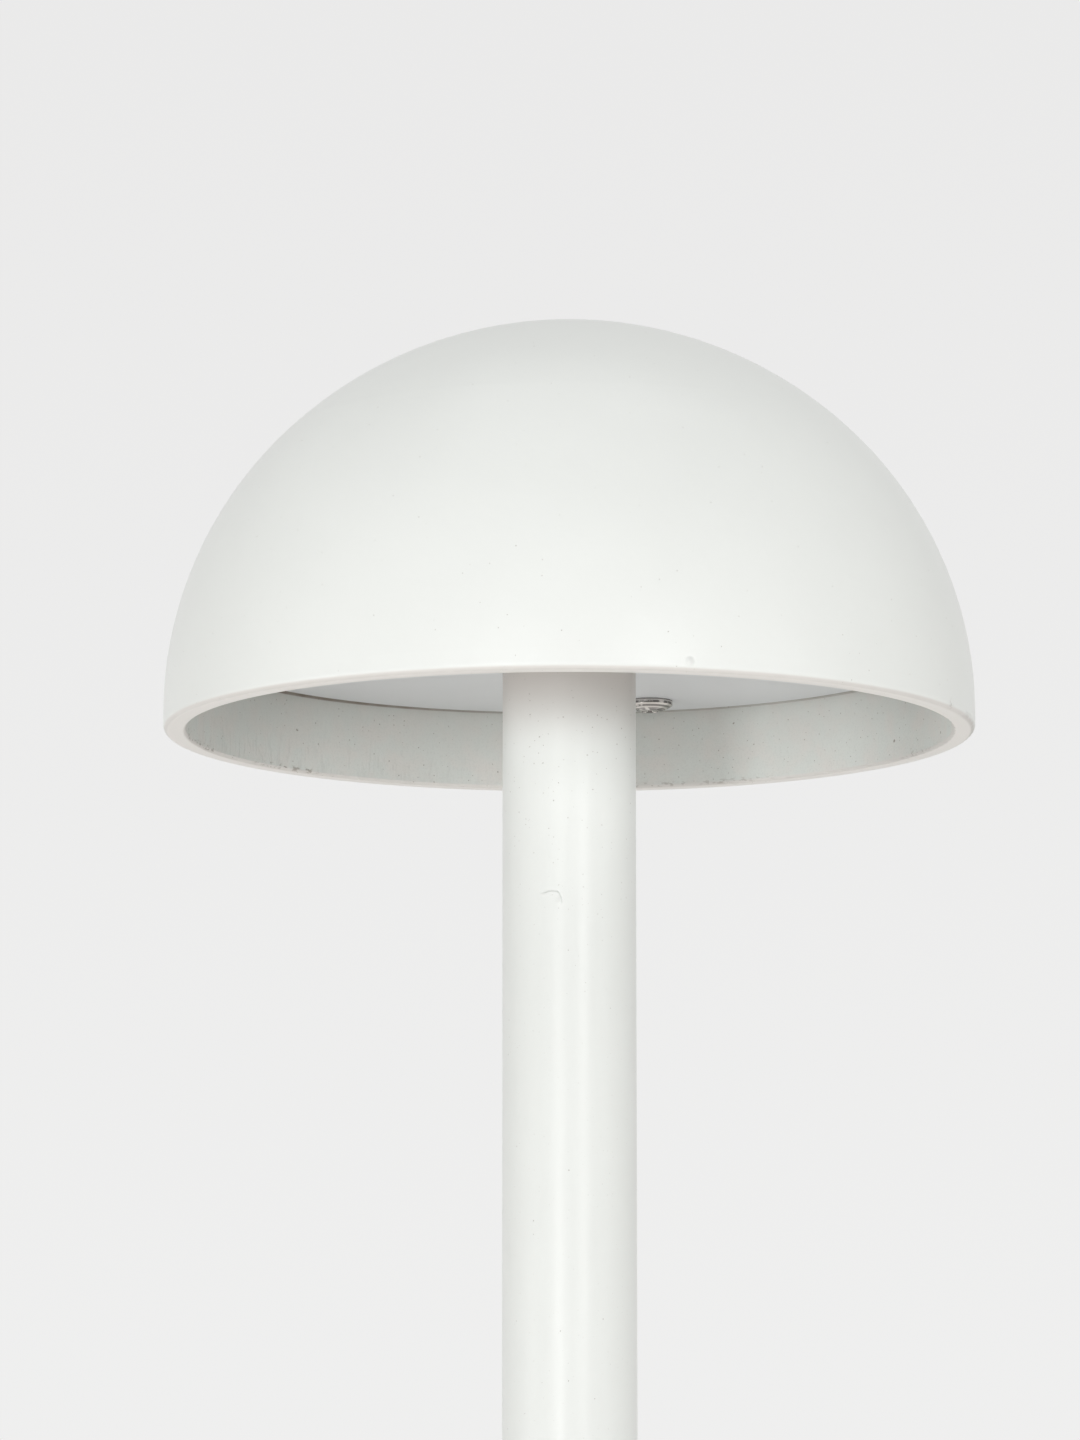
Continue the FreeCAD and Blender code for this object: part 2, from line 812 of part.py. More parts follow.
def led_board():
    """Ring-shaped board under the tray."""
    body = turned_ring(
        "led_board", board_level, board_inner, board_outer, s.board_thickness, gear_turn
    )
    screws = new_sketch(body, "board_holes", "XY_Plane")
    circle(screws, -board_screw_circle, 0, s.board_screw_diameter / 2 + s.screw_hole_gap)
    ring_of(body, [pocket(body, screws)], s.post_count)
    wires = new_sketch(body, "board_wire_hole", "XY_Plane")
    circle(wires, *wire_hole_place, s.led_lead_hole_diameter / 2)
    pocket(body, wires)
    return body


def led_chips():
    """Ring of chips on the underside of the board."""
    body = new_body("led_chips", board_level - s.chip_height, gear_turn)
    sketch = new_sketch(body, "chip", "XY_Plane")
    rectangle(sketch, chip_inside, -s.chip_width / 2, s.chip_length, s.chip_width)
    ring_of(body, [pad(body, sketch, s.chip_height)], s.chip_count)
    return body


def led_board_screws():
    """Pan-head screws through the board into the tray."""
    height = s.board_screw_head_height
    body = new_body("led_board_screws", board_level - height, gear_turn)
    screw = domed_screw(
        body,
        "board_screw",
        (-board_screw_circle, 0.0),
        (s.board_screw_head_diameter / 2, height),
        (s.board_screw_diameter / 2, s.board_thickness + s.tray_thickness),
        height / 2,
    )
    ring_of(body, [screw], s.post_count)
    return body


def led_terminal():
    """Two-way terminal under the board, with a hole for each wire."""
    body = new_body("led_terminal", board_level - s.terminal_height, gear_turn)
    block = new_sketch(body, "terminal_block", "XY_Plane")
    rectangle(block, terminal_face, -terminal_side, s.terminal_length, s.terminal_width)
    pad(body, block, s.terminal_height)
    holes = new_sketch(body, "terminal_holes", "YZ_Plane", (0.0, 0.0, terminal_face))
    for side in wire_sides:
        circle(holes, side, s.terminal_height / 2, s.led_lead_diameter / 2 + s.wire_gap)
    pocket(body, holes, s.terminal_wire_depth)
    return body


def led_leads():
    """Two wires from the driver, down through the tray and the board to the terminal."""
    body = new_body("led_leads", tray_level, gear_turn)
    start = s.tray_thickness + s.led_lead_height
    drop = -s.board_thickness - s.terminal_height / 2
    points = [
        (driver_face, start),
        (wire_hole_place[0], start),
        (wire_hole_place[0], drop),
        (terminal_face + s.terminal_wire_depth, drop),
    ]
    route = rounded_route(points, [s.led_lead_bend, s.led_lead_bend])
    for number, side in enumerate(wire_sides, start=1):
        path = new_sketch(body, f"wire_route_{number}", "XZ_Plane", (0.0, 0.0, -side))
        outline(path, route, closed=False)
        section = new_sketch(body, f"wire_section_{number}", "YZ_Plane", (0.0, 0.0, driver_face))
        circle(section, side, start, s.led_lead_diameter / 2)
        pipe(body, section, path)
    return body


def led_driver():
    """Potted driver on the tray: a case with rounded edges and an ear at each end."""
    body = new_body("led_driver", gear_level, gear_turn)
    case = new_sketch(body, "driver_case", "XY_Plane")
    left = driver_face
    right = left + s.driver_width
    half = s.driver_length / 2
    corner = s.driver_corner_radius
    outline(
        case,
        [
            (left + corner, -half, corner, 1),
            (right - corner, -half),
            (right, corner - half, corner, 1),
            (right, half - corner),
            (right - corner, half, corner, 1),
            (left + corner, half),
            (left, half - corner, corner, 1),
            (left, corner - half),
        ],
    )
    block = pad(body, case, s.driver_height)
    doc.recompute()
    rounded = body.newObject("PartDesign::Fillet", "driver_top_edge")
    top = s.driver_height.number
    edges = [
        f"Edge{number}"
        for number, edge in enumerate(block.Shape.Edges, start=1)
        if all(math.isclose(vertex.Z, top) for vertex in edge.Vertexes)
    ]
    rounded.Base = (block, edges)
    bind(rounded, "Radius", s.driver_top_fillet)
    ears = new_sketch(body, "driver_ears", "XY_Plane")
    reach = s.driver_length + s.driver_ear_length * 2
    corner_place = (driver_middle - s.driver_ear_width / 2, -reach / 2)
    rectangle(ears, *corner_place, s.driver_ear_width, reach)
    pad(body, ears, s.driver_ear_thickness)
    holes = new_sketch(body, "driver_ear_holes", "XY_Plane")
    for side in driver_screw_sides:
        circle(holes, driver_middle, side, s.driver_screw_diameter / 2 + s.screw_hole_gap)
    pocket(body, holes, s.driver_ear_thickness)
    return body


def driver_screws():
    """Pan-head screws through the driver's ears into the tray."""
    body = new_body("driver_screws", tray_level, gear_turn)
    for number, side in enumerate(driver_screw_sides, start=1):
        domed_screw(
            body,
            f"driver_screw_{number}",
            (driver_middle, side),
            (s.driver_screw_head_diameter / 2, s.driver_screw_head_height),
            (s.driver_screw_diameter / 2, s.tray_thickness + s.driver_ear_thickness),
            s.driver_screw_head_height / 2,
            head_up=True,
        )
    return body


# The tag's tongue runs from under its screw into the barrel, which ends where the wire begins
earth_barrel_start = earth_place[0] + s.earth_tag_diameter / 2 + s.earth_tongue_length
earth_barrel_end = earth_barrel_start + s.earth_barrel_length


def earth_tag():
    """Ring tag on the tray, with a barrel that points at the driver."""
    body = new_body("earth_tag", gear_level, gear_turn)
    ring = new_sketch(body, "tag_ring", "XY_Plane")
    circle(ring, *earth_place, s.earth_tag_diameter / 2)
    pad(body, ring, s.earth_tag_thickness)
    tongue = new_sketch(body, "tag_tongue", "XY_Plane")
    corner = (earth_place[0], s.earth_side - earth_lead_height)
    rectangle(tongue, *corner, earth_barrel_end - earth_place[0], earth_lead_height * 2)
    pad(body, tongue, s.earth_tag_thickness)
    barrel = new_sketch(body, "tag_barrel", "YZ_Plane", (0.0, 0.0, earth_barrel_start))
    circle(barrel, s.earth_side, earth_lead_height, earth_lead_height)
    pad(body, barrel, s.earth_barrel_length)
    hole = new_sketch(body, "tag_hole", "XY_Plane")
    circle(hole, *earth_place, s.earth_screw_diameter / 2 + s.screw_hole_gap)
    pocket(body, hole, s.earth_tag_thickness)
    return body


def earth_lead():
    """Short wire from the driver's side to the tag's barrel."""
    body = new_body("earth_lead", gear_level, gear_turn)
    section = new_sketch(body, "earth_wire", "YZ_Plane", (0.0, 0.0, earth_barrel_end))
    circle(section, s.earth_side, earth_lead_height, s.earth_lead_diameter / 2)
    pad(body, section, driver_face - earth_barrel_end)
    return body


def earth_screw():
    """Pan-head screw that clamps the tag to the tray."""
    body = new_body("earth_screw", tray_level, gear_turn)
    domed_screw(
        body,
        "clamp_screw",
        earth_place,
        (s.earth_screw_head_diameter / 2, s.earth_screw_head_height),
        (s.earth_screw_diameter / 2, s.tray_thickness + s.earth_tag_thickness),
        s.earth_screw_head_height / 2,
        head_up=True,
    )
    return body


def supply_lead():
    """Lead from the inlet up the pole, out through the bush and into the driver's side."""
    body = new_body("supply_lead", 0.0, gear_turn)
    bottom = s.connector_level + s.connector_length - s.connector_lead_depth
    wall_side = lead_radius + s.supply_lead_wall_gap - pole_bore
    points = [
        (as_size(0), bottom),
        (as_size(0), bottom + s.supply_lead_slant_start),
        (wall_side, wire_level - s.supply_lead_slant_end),
        (wall_side, wire_level),
        (driver_face, wire_level),
    ]
    last_bend = bush_inside - s.bush_flange_thickness - s.supply_lead_bush_gap - wall_side
    bends = [s.supply_lead_slant_bend, s.supply_lead_slant_bend, last_bend]
    path = new_sketch(body, "lead_route", "XZ_Plane")
    outline(path, rounded_route(points, bends), closed=False)
    section = new_sketch(body, "lead_section", "XY_Plane", (0.0, 0.0, bottom))
    circle(section, 0, 0, lead_radius)
    pipe(body, section, path)
    return body


def inlet_connector():
    """Round inlet on the lower end of the lead: a coupling nut, a body and a neck for the lead."""
    body = new_body("inlet_connector", s.connector_level)
    profile = new_sketch(body, "connector_profile", "XZ_Plane")
    nut = pole_bore - s.connector_bore_gap
    barrel = nut - s.connector_nut_wall
    neck = lead_radius + s.connector_neck_wall
    bore = s.connector_bore / 2
    lead = lead_radius + s.wire_gap
    top = s.connector_length
    shoulder = top - s.connector_neck_length
    outline(
        profile,
        [
            (bore, 0),
            (nut, 0),
            (nut, s.connector_nut_length),
            (barrel, s.connector_nut_length),
            (barrel, shoulder),
            (neck, shoulder),
            (neck, top),
            (lead, top),
            (lead, top - s.connector_lead_depth),
            (0, top - s.connector_lead_depth),
            (0, s.connector_bore_depth),
            (bore, s.connector_bore_depth),
        ],
    )
    revolve(body, profile)
    return body


def wire_grommet():
    """Bush in the pole's wire hole, with a flat flange on each side of the wall."""
    body = new_body("wire_grommet", wire_level, gear_turn)
    profile = new_sketch(body, "bush_profile", "XZ_Plane")
    lead = lead_radius + s.wire_gap
    neck = s.wire_hole_diameter / 2 - s.bush_gap
    flange = s.bush_flange_diameter / 2
    inner_end = bush_inside - s.bush_flange_thickness
    outer_end = pole_radius + s.bush_flange_thickness
    outline(
        profile,
        [
            (inner_end, lead),
            (outer_end, lead),
            (outer_end, flange),
            (pole_radius, flange),
            (pole_radius, neck),
            (bush_inside, neck),
            (bush_inside, flange),
            (inner_end, flange),
        ],
    )
    revolve(body, profile, "H_Axis")
    return body


def pole_tube():
    """Straight tube from the foot to the hub, with a wire hole inside the dome."""
    body = new_body("pole_tube", s.pole_seat_level, gear_turn)
    section = new_sketch(body, "pole_section", "XY_Plane")
    circle(section, 0, 0, pole_radius)
    circle(section, 0, 0, pole_bore)
    pad(body, section, rim_level + socket_top - s.pole_seat_level)
    hole = new_sketch(body, "wire_hole", "YZ_Plane")
    circle(hole, 0, wire_level - s.pole_seat_level, s.wire_hole_diameter / 2)
    pocket(body, hole, s.pole_diameter)
    return body


# The cable entry fits the web under the pole, and the collar's screws bear on the pole above it
cable_hole = pole_bore - s.cable_web
cable_recess = cable_hole + s.cable_recess_width
collar_screw_level = s.collar_height - s.collar_screw_inset


def base_flange():
    """Round foot with a collar for the pole, anchor holes and a recess for the cable entry."""
    body = new_body("base_flange", 0.0, s.anchor_angle)
    profile = new_sketch(body, "foot_profile", "XZ_Plane")
    outline(
        profile,
        [
            (cable_recess, 0),
            (foot_radius, 0),
            (foot_radius, s.foot_thickness - s.foot_edge_fillet),
            (foot_radius - s.foot_edge_fillet, s.foot_thickness, s.foot_edge_fillet, 1),
            (collar_radius + s.collar_root_fillet, s.foot_thickness),
            (collar_radius, s.foot_thickness + s.collar_root_fillet, s.collar_root_fillet, -1),
            (collar_radius, s.collar_height - s.collar_top_fillet),
            (collar_radius - s.collar_top_fillet, s.collar_height, s.collar_top_fillet, 1),
            (pole_clear, s.collar_height),
            (pole_clear, s.pole_seat_level),
            (cable_hole, s.pole_seat_level),
            (cable_hole, s.cable_recess_depth),
            (cable_recess, s.cable_recess_depth),
        ],
    )
    revolve(body, profile)
    anchor_circle = foot_radius - s.anchor_edge_distance
    hole = s.anchor_hole_diameter / 2
    anchors = new_sketch(body, "anchor_holes", "XY_Plane")
    circle(anchors, anchor_circle, 0, hole)
    chamfer = new_sketch(body, "anchor_chamfers", "XZ_Plane", (anchor_circle, 0.0, 0.0))
    outline(
        chamfer,
        [
            (0, s.foot_thickness - s.anchor_hole_chamfer),
            (hole, s.foot_thickness - s.anchor_hole_chamfer),
            (hole + s.anchor_hole_chamfer, s.foot_thickness),
            (0, s.foot_thickness),
        ],
    )
    ring_of(body, [pocket(body, anchors), groove(body, chamfer)], s.anchor_count)
    screws = new_sketch(body, "collar_screw_holes", "YZ_Plane")
    circle(screws, 0, collar_screw_level, s.set_screw_diameter / 2)
    ring_of(body, [pocket(body, screws, foot_radius)], s.post_count)
    return body


def base_set_screws():
    """Grub screws in the collar that bear on the pole."""
    body = new_body("base_set_screws", 0.0, s.anchor_angle)
    screw = set_screw(body, "collar_screw", collar_screw_level)
    ring_of(body, screw, s.post_count)
    return body


def cable_grommet():
    """Rubber cable entry held in the web of the foot."""
    body = new_body("cable_grommet", s.cable_recess_depth - s.cable_flange_thickness)
    profile = new_sketch(body, "grommet_profile", "XZ_Plane")
    bore = s.cable_bore / 2
    low = s.cable_flange_thickness
    high = low + s.pole_seat_level - s.cable_recess_depth
    upper = pole_bore - s.cable_flange_gap
    lower = cable_recess - s.cable_recess_gap
    outline(
        profile,
        [
            (bore, 0),
            (lower, 0),
            (lower, low),
            (cable_hole, low),
            (cable_hole, high),
            (upper, high),
            (upper, high + low),
            (bore, high + low),
        ],
    )
    revolve(body, profile)
    return body


def main():
    """Builds every sub-part, checks the document and writes one file per sub-part."""
    makers = (
        dome_shade,
        hub_set_screws,
        diffuser_disc,
        diffuser_gasket,
        diffuser_screws,
        pole_seal,
        gear_tray,
        gear_tray_screws,
        led_board,
        led_chips,
        led_board_screws,
        led_terminal,
        led_leads,
        led_driver,
        driver_screws,
        earth_tag,
        earth_lead,
        earth_screw,
        supply_lead,
        inlet_connector,
        wire_grommet,
        pole_tube,
        base_flange,
        base_set_screws,
        cable_grommet,
    )
    parts = [maker() for maker in makers]
    doc.recompute()
    failed = [item.Name for item in doc.Objects if {"Invalid", "Error"} & set(item.State)]
    if failed:
        raise RuntimeError(f"failed objects: {failed}")
    for part in parts:
        if part.Shape.isNull() or not part.Shape.isValid():
            raise RuntimeError(f"{part.Label} has no valid shape")
    os.makedirs("parts", exist_ok=True)
    for part in parts:
        part.Shape.exportStep(f"parts/{part.Label}.step")
        print(part.Label, len(part.Shape.Solids), round(part.Shape.Volume, 2))


main()
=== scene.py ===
"""Mushroom bollard light in a white studio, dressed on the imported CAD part.

Lengths are in metres, in the CAD frame: +Z up, the photograph's camera on the -Y side.
"""

import json
import math

import bmesh
import bpy
from mathutils import Matrix, Vector


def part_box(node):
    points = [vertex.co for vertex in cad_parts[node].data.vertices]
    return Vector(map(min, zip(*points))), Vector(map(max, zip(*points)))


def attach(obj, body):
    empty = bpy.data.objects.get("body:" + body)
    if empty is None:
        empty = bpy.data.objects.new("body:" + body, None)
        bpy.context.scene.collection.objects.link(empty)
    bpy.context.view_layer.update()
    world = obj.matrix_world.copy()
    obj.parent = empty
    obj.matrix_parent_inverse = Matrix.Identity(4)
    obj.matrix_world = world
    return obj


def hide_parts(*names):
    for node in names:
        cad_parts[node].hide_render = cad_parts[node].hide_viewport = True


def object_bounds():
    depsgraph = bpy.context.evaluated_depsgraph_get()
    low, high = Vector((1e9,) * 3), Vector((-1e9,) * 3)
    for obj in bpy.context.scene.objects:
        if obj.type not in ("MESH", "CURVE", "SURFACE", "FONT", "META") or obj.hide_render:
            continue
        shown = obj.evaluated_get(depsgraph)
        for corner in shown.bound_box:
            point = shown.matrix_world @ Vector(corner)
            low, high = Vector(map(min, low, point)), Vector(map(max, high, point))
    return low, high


MM = 0.001

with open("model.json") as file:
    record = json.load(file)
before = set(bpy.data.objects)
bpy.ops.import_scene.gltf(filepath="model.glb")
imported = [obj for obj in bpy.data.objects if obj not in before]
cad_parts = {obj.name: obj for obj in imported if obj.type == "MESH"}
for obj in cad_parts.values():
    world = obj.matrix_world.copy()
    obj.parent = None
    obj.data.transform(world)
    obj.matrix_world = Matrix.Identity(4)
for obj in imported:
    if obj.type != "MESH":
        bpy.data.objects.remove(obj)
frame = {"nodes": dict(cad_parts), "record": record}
nodes = frame["nodes"]
cad_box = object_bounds()

rim_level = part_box("dome_shade")[0].z
diffuser_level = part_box("diffuser_disc")[0].z
diffuser_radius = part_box("diffuser_disc")[1].x
foot_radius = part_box("base_flange")[1].x
floor_level = cad_box[0].z


# Node trees

# Detail of a noise: how many finer layers it has
EVEN = 1.0
PLAIN = 2.0
FINE = 3.0
RAGGED = 4.0

# Dots: lumps in their outline per radius, how many radii it is pushed, and the solid share of a dot
DOT_LUMPS = 0.7
DOT_PUSH = 2.0
DOT_SOLID = 0.5


class Tree:
    """A node tree being built: most methods add a node and give its output socket."""

    def __init__(self, tree):
        self.tree = tree
        tree.nodes.clear()

    def add(self, kind, **settings):
        """A new node with its properties set."""
        item = self.tree.nodes.new(kind)
        for name, value in settings.items():
            setattr(item, name, value)
        return item

    def put(self, socket, value):
        """Links a socket to an input, or sets the input to a number, vector or colour."""
        if isinstance(value, bpy.types.NodeSocket):
            self.tree.links.new(value, socket)
        else:
            socket.default_value = value

    def place(self):
        """Position in metres in the object's own frame, which for CAD nodes is the CAD frame."""
        return self.add("ShaderNodeTexCoord").outputs["Object"]

    def facing(self):
        """Surface normal in the object's own frame."""
        return self.add("ShaderNodeTexCoord").outputs["Normal"]

    def math(self, operation, first, second=0.0):
        """The result of an operation on two numbers."""
        item = self.add("ShaderNodeMath", operation=operation)
        self.put(item.inputs[0], first)
        self.put(item.inputs[1], second)
        return item.outputs[0]

    def product(self, *values):
        """All the values multiplied."""
        result = values[0]
        for value in values[1:]:
            result = self.math("MULTIPLY", result, value)
        return result

    def total(self, *values):
        """All the values added."""
        result = values[0]
        for value in values[1:]:
            result = self.math("ADD", result, value)
        return result

    def vector(self, operation, first, second=(0.0, 0.0, 0.0), output="Vector"):
        """The result of an operation on vectors: a vector, or a number with output Value."""
        item = self.add("ShaderNodeVectorMath", operation=operation)
        self.put(item.inputs[0], first)
        self.put(item.inputs[1], second)
        return item.outputs[output]

    def parts(self, vector):
        """The x, y and z of a vector, or the red, green and blue of a colour."""
        item = self.add("ShaderNodeSeparateXYZ")
        self.put(item.inputs[0], vector)
        return item.outputs

    def joined(self, x, y, z):
        """A vector from its x, y and z."""
        item = self.add("ShaderNodeCombineXYZ")
        for socket, value in zip(item.inputs, (x, y, z)):
            self.put(socket, value)
        return item.outputs[0]

    def noise(self, where, size, detail=PLAIN):
        """Noise from 0 to 1, with lumps about size metres across."""
        item = self.add("ShaderNodeTexNoise")
        self.put(item.inputs["Vector"], where)
        item.inputs["Scale"].default_value = 1.0 / size
        item.inputs["Detail"].default_value = detail
        return item.outputs["Fac"]

    def dots(self, where, spacing, radius, share):
        """1 inside ragged dots of up to a radius, in a share of the cells of a spacing."""
        wobble = self.add("ShaderNodeTexNoise")
        self.put(wobble.inputs["Vector"], where)
        wobble.inputs["Scale"].default_value = DOT_LUMPS / radius
        push = DOT_PUSH * radius
        shift = self.vector("MULTIPLY", wobble.outputs["Color"], (push, push, push))
        item = self.add("ShaderNodeTexVoronoi")
        self.put(item.inputs["Vector"], self.vector("ADD", where, shift))
        item.inputs["Scale"].default_value = 1.0 / spacing
        pick = self.step(self.parts(item.outputs["Color"])[0], 1.0 - share, 1.0)
        size = self.product(pick, radius / spacing)
        return self.step(item.outputs["Distance"], size, self.product(size, DOT_SOLID))

    def spot(self, where, centre, radius):
        """1 at a point, falling smoothly to 0 at a radius from it."""
        return self.step(self.vector("DISTANCE", where, centre, "Value"), radius, 0.0)

    def step(self, value, low, high):
        """0 at low, 1 at high, and smooth between; low may be the larger."""
        item = self.add("ShaderNodeMapRange", interpolation_type="SMOOTHSTEP")
        self.put(item.inputs["Value"], value)
        self.put(item.inputs["From Min"], low)
        self.put(item.inputs["From Max"], high)
        return item.outputs[0]

    def between(self, share, low, high):
        """A value from low to high as share goes from 0 to 1."""
        item = self.add("ShaderNodeMapRange")
        self.put(item.inputs["Value"], share)
        self.put(item.inputs["To Min"], low)
        self.put(item.inputs["To Max"], high)
        return item.outputs[0]

    def mix(self, share, first, second):
        """A colour from first to second as share goes from 0 to 1."""
        item = self.add("ShaderNodeMix", data_type="RGBA")
        self.put(item.inputs["Factor"], share)
        self.put(item.inputs["A"], first)
        self.put(item.inputs["B"], second)
        return item.outputs["Result"]

    def bump(self, height):
        """A normal from a height in metres."""
        item = self.add("ShaderNodeBump")
        item.inputs["Strength"].default_value = 1.0
        item.inputs["Distance"].default_value = 1.0
        self.put(item.inputs["Height"], height)
        return item.outputs[0]

    def seen(self):
        """1 for rays that show a surface as it is: from the camera, a mirror or through glass."""
        path = self.add("ShaderNodeLightPath")
        result = path.outputs["Is Camera Ray"]
        for kind in ("Is Glossy Ray", "Is Transmission Ray"):
            result = self.math("MAXIMUM", result, path.outputs[kind])
        return result

    def shader(self, kind, **inputs):
        """A shader node's output, with inputs named as on the node."""
        item = self.add(kind)
        for name, value in inputs.items():
            self.put(item.inputs[name.replace("_", " ")], value)
        return item.outputs[0]

    def blend(self, share, first, second):
        """A shader from first to second as share goes from 0 to 1."""
        item = self.add("ShaderNodeMixShader")
        for socket, value in zip(item.inputs, (share, first, second)):
            self.put(socket, value)
        return item.outputs[0]

    def surface(self, **inputs):
        """A Principled surface on the material's output, with inputs named as on the node."""
        self.finish(self.shader("ShaderNodeBsdfPrincipled", **inputs))

    def finish(self, shader, output="ShaderNodeOutputMaterial"):
        """Puts a shader on the tree's output."""
        self.put(self.add(output).inputs["Surface"], shader)


def new_material(name):
    """An empty node material and its tree."""
    material = bpy.data.materials.new(name)
    material.use_nodes = True
    return material, Tree(material.node_tree)


def rgb(red, green, blue):
    """A colour for a socket."""
    return (red, green, blue, 1.0)


def darker(colour, share):
    """A colour scaled down to a share of its brightness."""
    return rgb(*(share * part for part in colour[:3]))


# Diffuser screws, as in the CAD model

SCREW_INSET = 16.8 * MM
HEAD_ANGLE = math.radians(73.5)
HEAD_RADIUS = 5.9 * MM
HEAD_HEIGHT = 3.1 * MM
HEAD_EDGE = 1.2 * MM
SHANK_RADIUS = 2.4 * MM
SHANK_LENGTH = 11 * MM
CROSS_SPAN = 5.2 * MM
CROSS_WIDTH = 1.5 * MM
CROSS_DEPTH = 2.0 * MM


# Finishes

# A pair named for a place or a cut is where a mask starts and where it is full. Any other pair is a
# value where the mask is 0 and where it is 1. A tone is how much of the colour a flaw takes, and a
# shade is the share of brightness that it leaves. Dots are given as spacing, radius and share.

COAT = rgb(0.792, 0.812, 0.795)
# The inside wall's colours are darker than COAT: painted shade for the dim inside of the shade.
COAT_INSIDE = rgb(0.655, 0.680, 0.654)
COAT_WARM = rgb(0.680, 0.668, 0.640)
# Painted shade that the inside wall takes towards the diffuser.
COAT_DEEP_SHADE = rgb(0.425, 0.430, 0.412)
# Painted light on the rim: a warm bounce tint on its face, and painted shade on the fillet above it.
RIM_PAINTED_BOUNCE = rgb(0.778, 0.758, 0.731)
LIP_PAINTED_SHADE = rgb(0.665, 0.648, 0.626)
# Dust tint and painted shade on the pole's top, where the shade shadows it.
COAT_DUST_AND_SHADE = rgb(0.575, 0.546, 0.522)
SPECK = rgb(0.22, 0.19, 0.16)
# Grime and painted shadow in the gap where the diffuser meets the shade's wall.
SEAM_GRIME_AND_SHADOW = rgb(0.200, 0.150, 0.120)


def from_axis(tree, where):
    """Distance from the Z axis: the pole's axis, or a screw's in the screw's own frame."""
    x, y, _ = tree.parts(where)
    return tree.vector("LENGTH", tree.joined(x, y, 0.0), output="Value")


WALL_RING = (70 * MM, 80 * MM)
WALL_FACING = (0.0, -0.4)


def shade_inside(tree, where, radius):
    """1 on the inside wall of the shade, 0 on every other coated surface."""
    x, y, _ = tree.parts(where)
    outward = tree.vector("NORMALIZE", tree.joined(x, y, 0.0))
    facing = tree.vector("DOT_PRODUCT", tree.facing(), outward, "Value")
    return tree.product(tree.step(facing, *WALL_FACING), tree.step(radius, *WALL_RING))


LEFT_SIDE = (20 * MM, -75 * MM)


def on_left(tree, where):
    """0 on the right of the shade, rising to 1 on its left, where the coat inside is worse."""
    return tree.step(tree.parts(where)[0], *LEFT_SIDE)


SEAM_REACH = (0.14 * MM, 0.42 * MM)
SEAM_FULL = 0.3
SEAM_TONE = (0.35, 0.85)
SEAM_LUMP = 5 * MM
SEAM_UNEVEN = (0.6, 1.2)


def seam_grime_and_shadow(tree, where, inside):
    """A thin dark line on the shade's wall where the diffuser's edge meets it, heavier on the left:
    grime, and painted shadow of the gap between them.
    """
    left = on_left(tree, where)
    reach = tree.between(left, *SEAM_REACH)
    depth = tree.math("SUBTRACT", diffuser_level, tree.parts(where)[2])
    line = tree.step(depth, reach, tree.product(reach, SEAM_FULL))
    uneven = tree.between(tree.noise(where, SEAM_LUMP), *SEAM_UNEVEN)
    return tree.product(inside, line, tree.between(left, *SEAM_TONE), uneven)


CHIPS_LOW = (rim_level + 0.1 * MM, rim_level + 0.5 * MM)
CHIPS_HIGH = (rim_level + 1.9 * MM, rim_level + 0.9 * MM)
CHIPS_STRETCH = 26 * MM
CHIPS_STRETCH_CUT = (0.47, 0.60)
CHIPS_LUMP = 0.7 * MM
CHIPS_LENGTHEN = (0.4, 0.4, 1.0)
CHIPS_CUT = (0.55, 0.60)
CHIPS_TONE = (0.5, 0.8)


def edge_chips(tree, where, level, inside):
    """Ragged breaks in the coat along the shade's inner edge, heavier on the left."""
    band = tree.product(tree.step(level, *CHIPS_LOW), tree.step(level, *CHIPS_HIGH))
    stretch = tree.step(tree.noise(where, CHIPS_STRETCH, EVEN), *CHIPS_STRETCH_CUT)
    along = tree.vector("MULTIPLY", where, CHIPS_LENGTHEN)
    ragged = tree.step(tree.noise(along, CHIPS_LUMP, RAGGED), *CHIPS_CUT)
    return tree.product(inside, band, stretch, ragged, tree.between(on_left(tree, where), *CHIPS_TONE))


RIM_CHIP = (93.0 * MM, -40.5 * MM, rim_level + 1.2 * MM)
RIM_CHIP_REACH = 2.2 * MM
RIM_CHIP_LUMP = 0.9 * MM
RIM_CHIP_CUT = (0.45, 0.6)


def rim_chip(tree, where):
    """One shallow chip low on the shade's outside, on the right in the photograph."""
    ragged = tree.step(tree.noise(where, RIM_CHIP_LUMP, FINE), *RIM_CHIP_CUT)
    return tree.product(tree.spot(where, RIM_CHIP, RIM_CHIP_REACH), ragged)


PAINT_CURL = (-4.8 * MM, -16.0 * MM, rim_level - 43.6 * MM)
CURL_FLATTEN = (0.75, 0.0, 1.0)
CURL_LUMP = 1.3 * MM
CURL_WOBBLE = 0.5 * MM
CURL_RISE = (0.9 * MM, 1.9 * MM)
CURL_FALL = (2.4 * MM, 1.9 * MM)
CURL_LEAN = 0.8
CURL_UPPER = (-0.6 * MM, 1.0 * MM)
POLE_FRONT = (-8 * MM, -12 * MM)


def paint_curl(tree, where):
    """A curled, uneven lip of paint on the pole: the upper right half of a flattened ring."""
    offset = tree.vector("MULTIPLY", tree.vector("SUBTRACT", where, PAINT_CURL), CURL_FLATTEN)
    x, _, z = tree.parts(offset)
    uneven = tree.between(tree.noise(where, CURL_LUMP, FINE), -CURL_WOBBLE, CURL_WOBBLE)
    away = tree.total(tree.vector("LENGTH", offset, output="Value"), uneven)
    ring = tree.product(tree.step(away, *CURL_RISE), tree.step(away, *CURL_FALL))
    upper = tree.step(tree.total(tree.product(x, CURL_LEAN), z), *CURL_UPPER)
    front = tree.step(tree.parts(where)[1], *POLE_FRONT)
    return tree.product(ring, upper, front)


STREAK_SIZE = 1.1 * MM
STREAK_STRETCH = (1.0, 1.0, 0.25)
STREAK_CUT = (0.48, 0.72)
WALL_LOW = (rim_level + 13 * MM, rim_level + 2 * MM)
RUNS_SHARE = (0.2, 1.0)


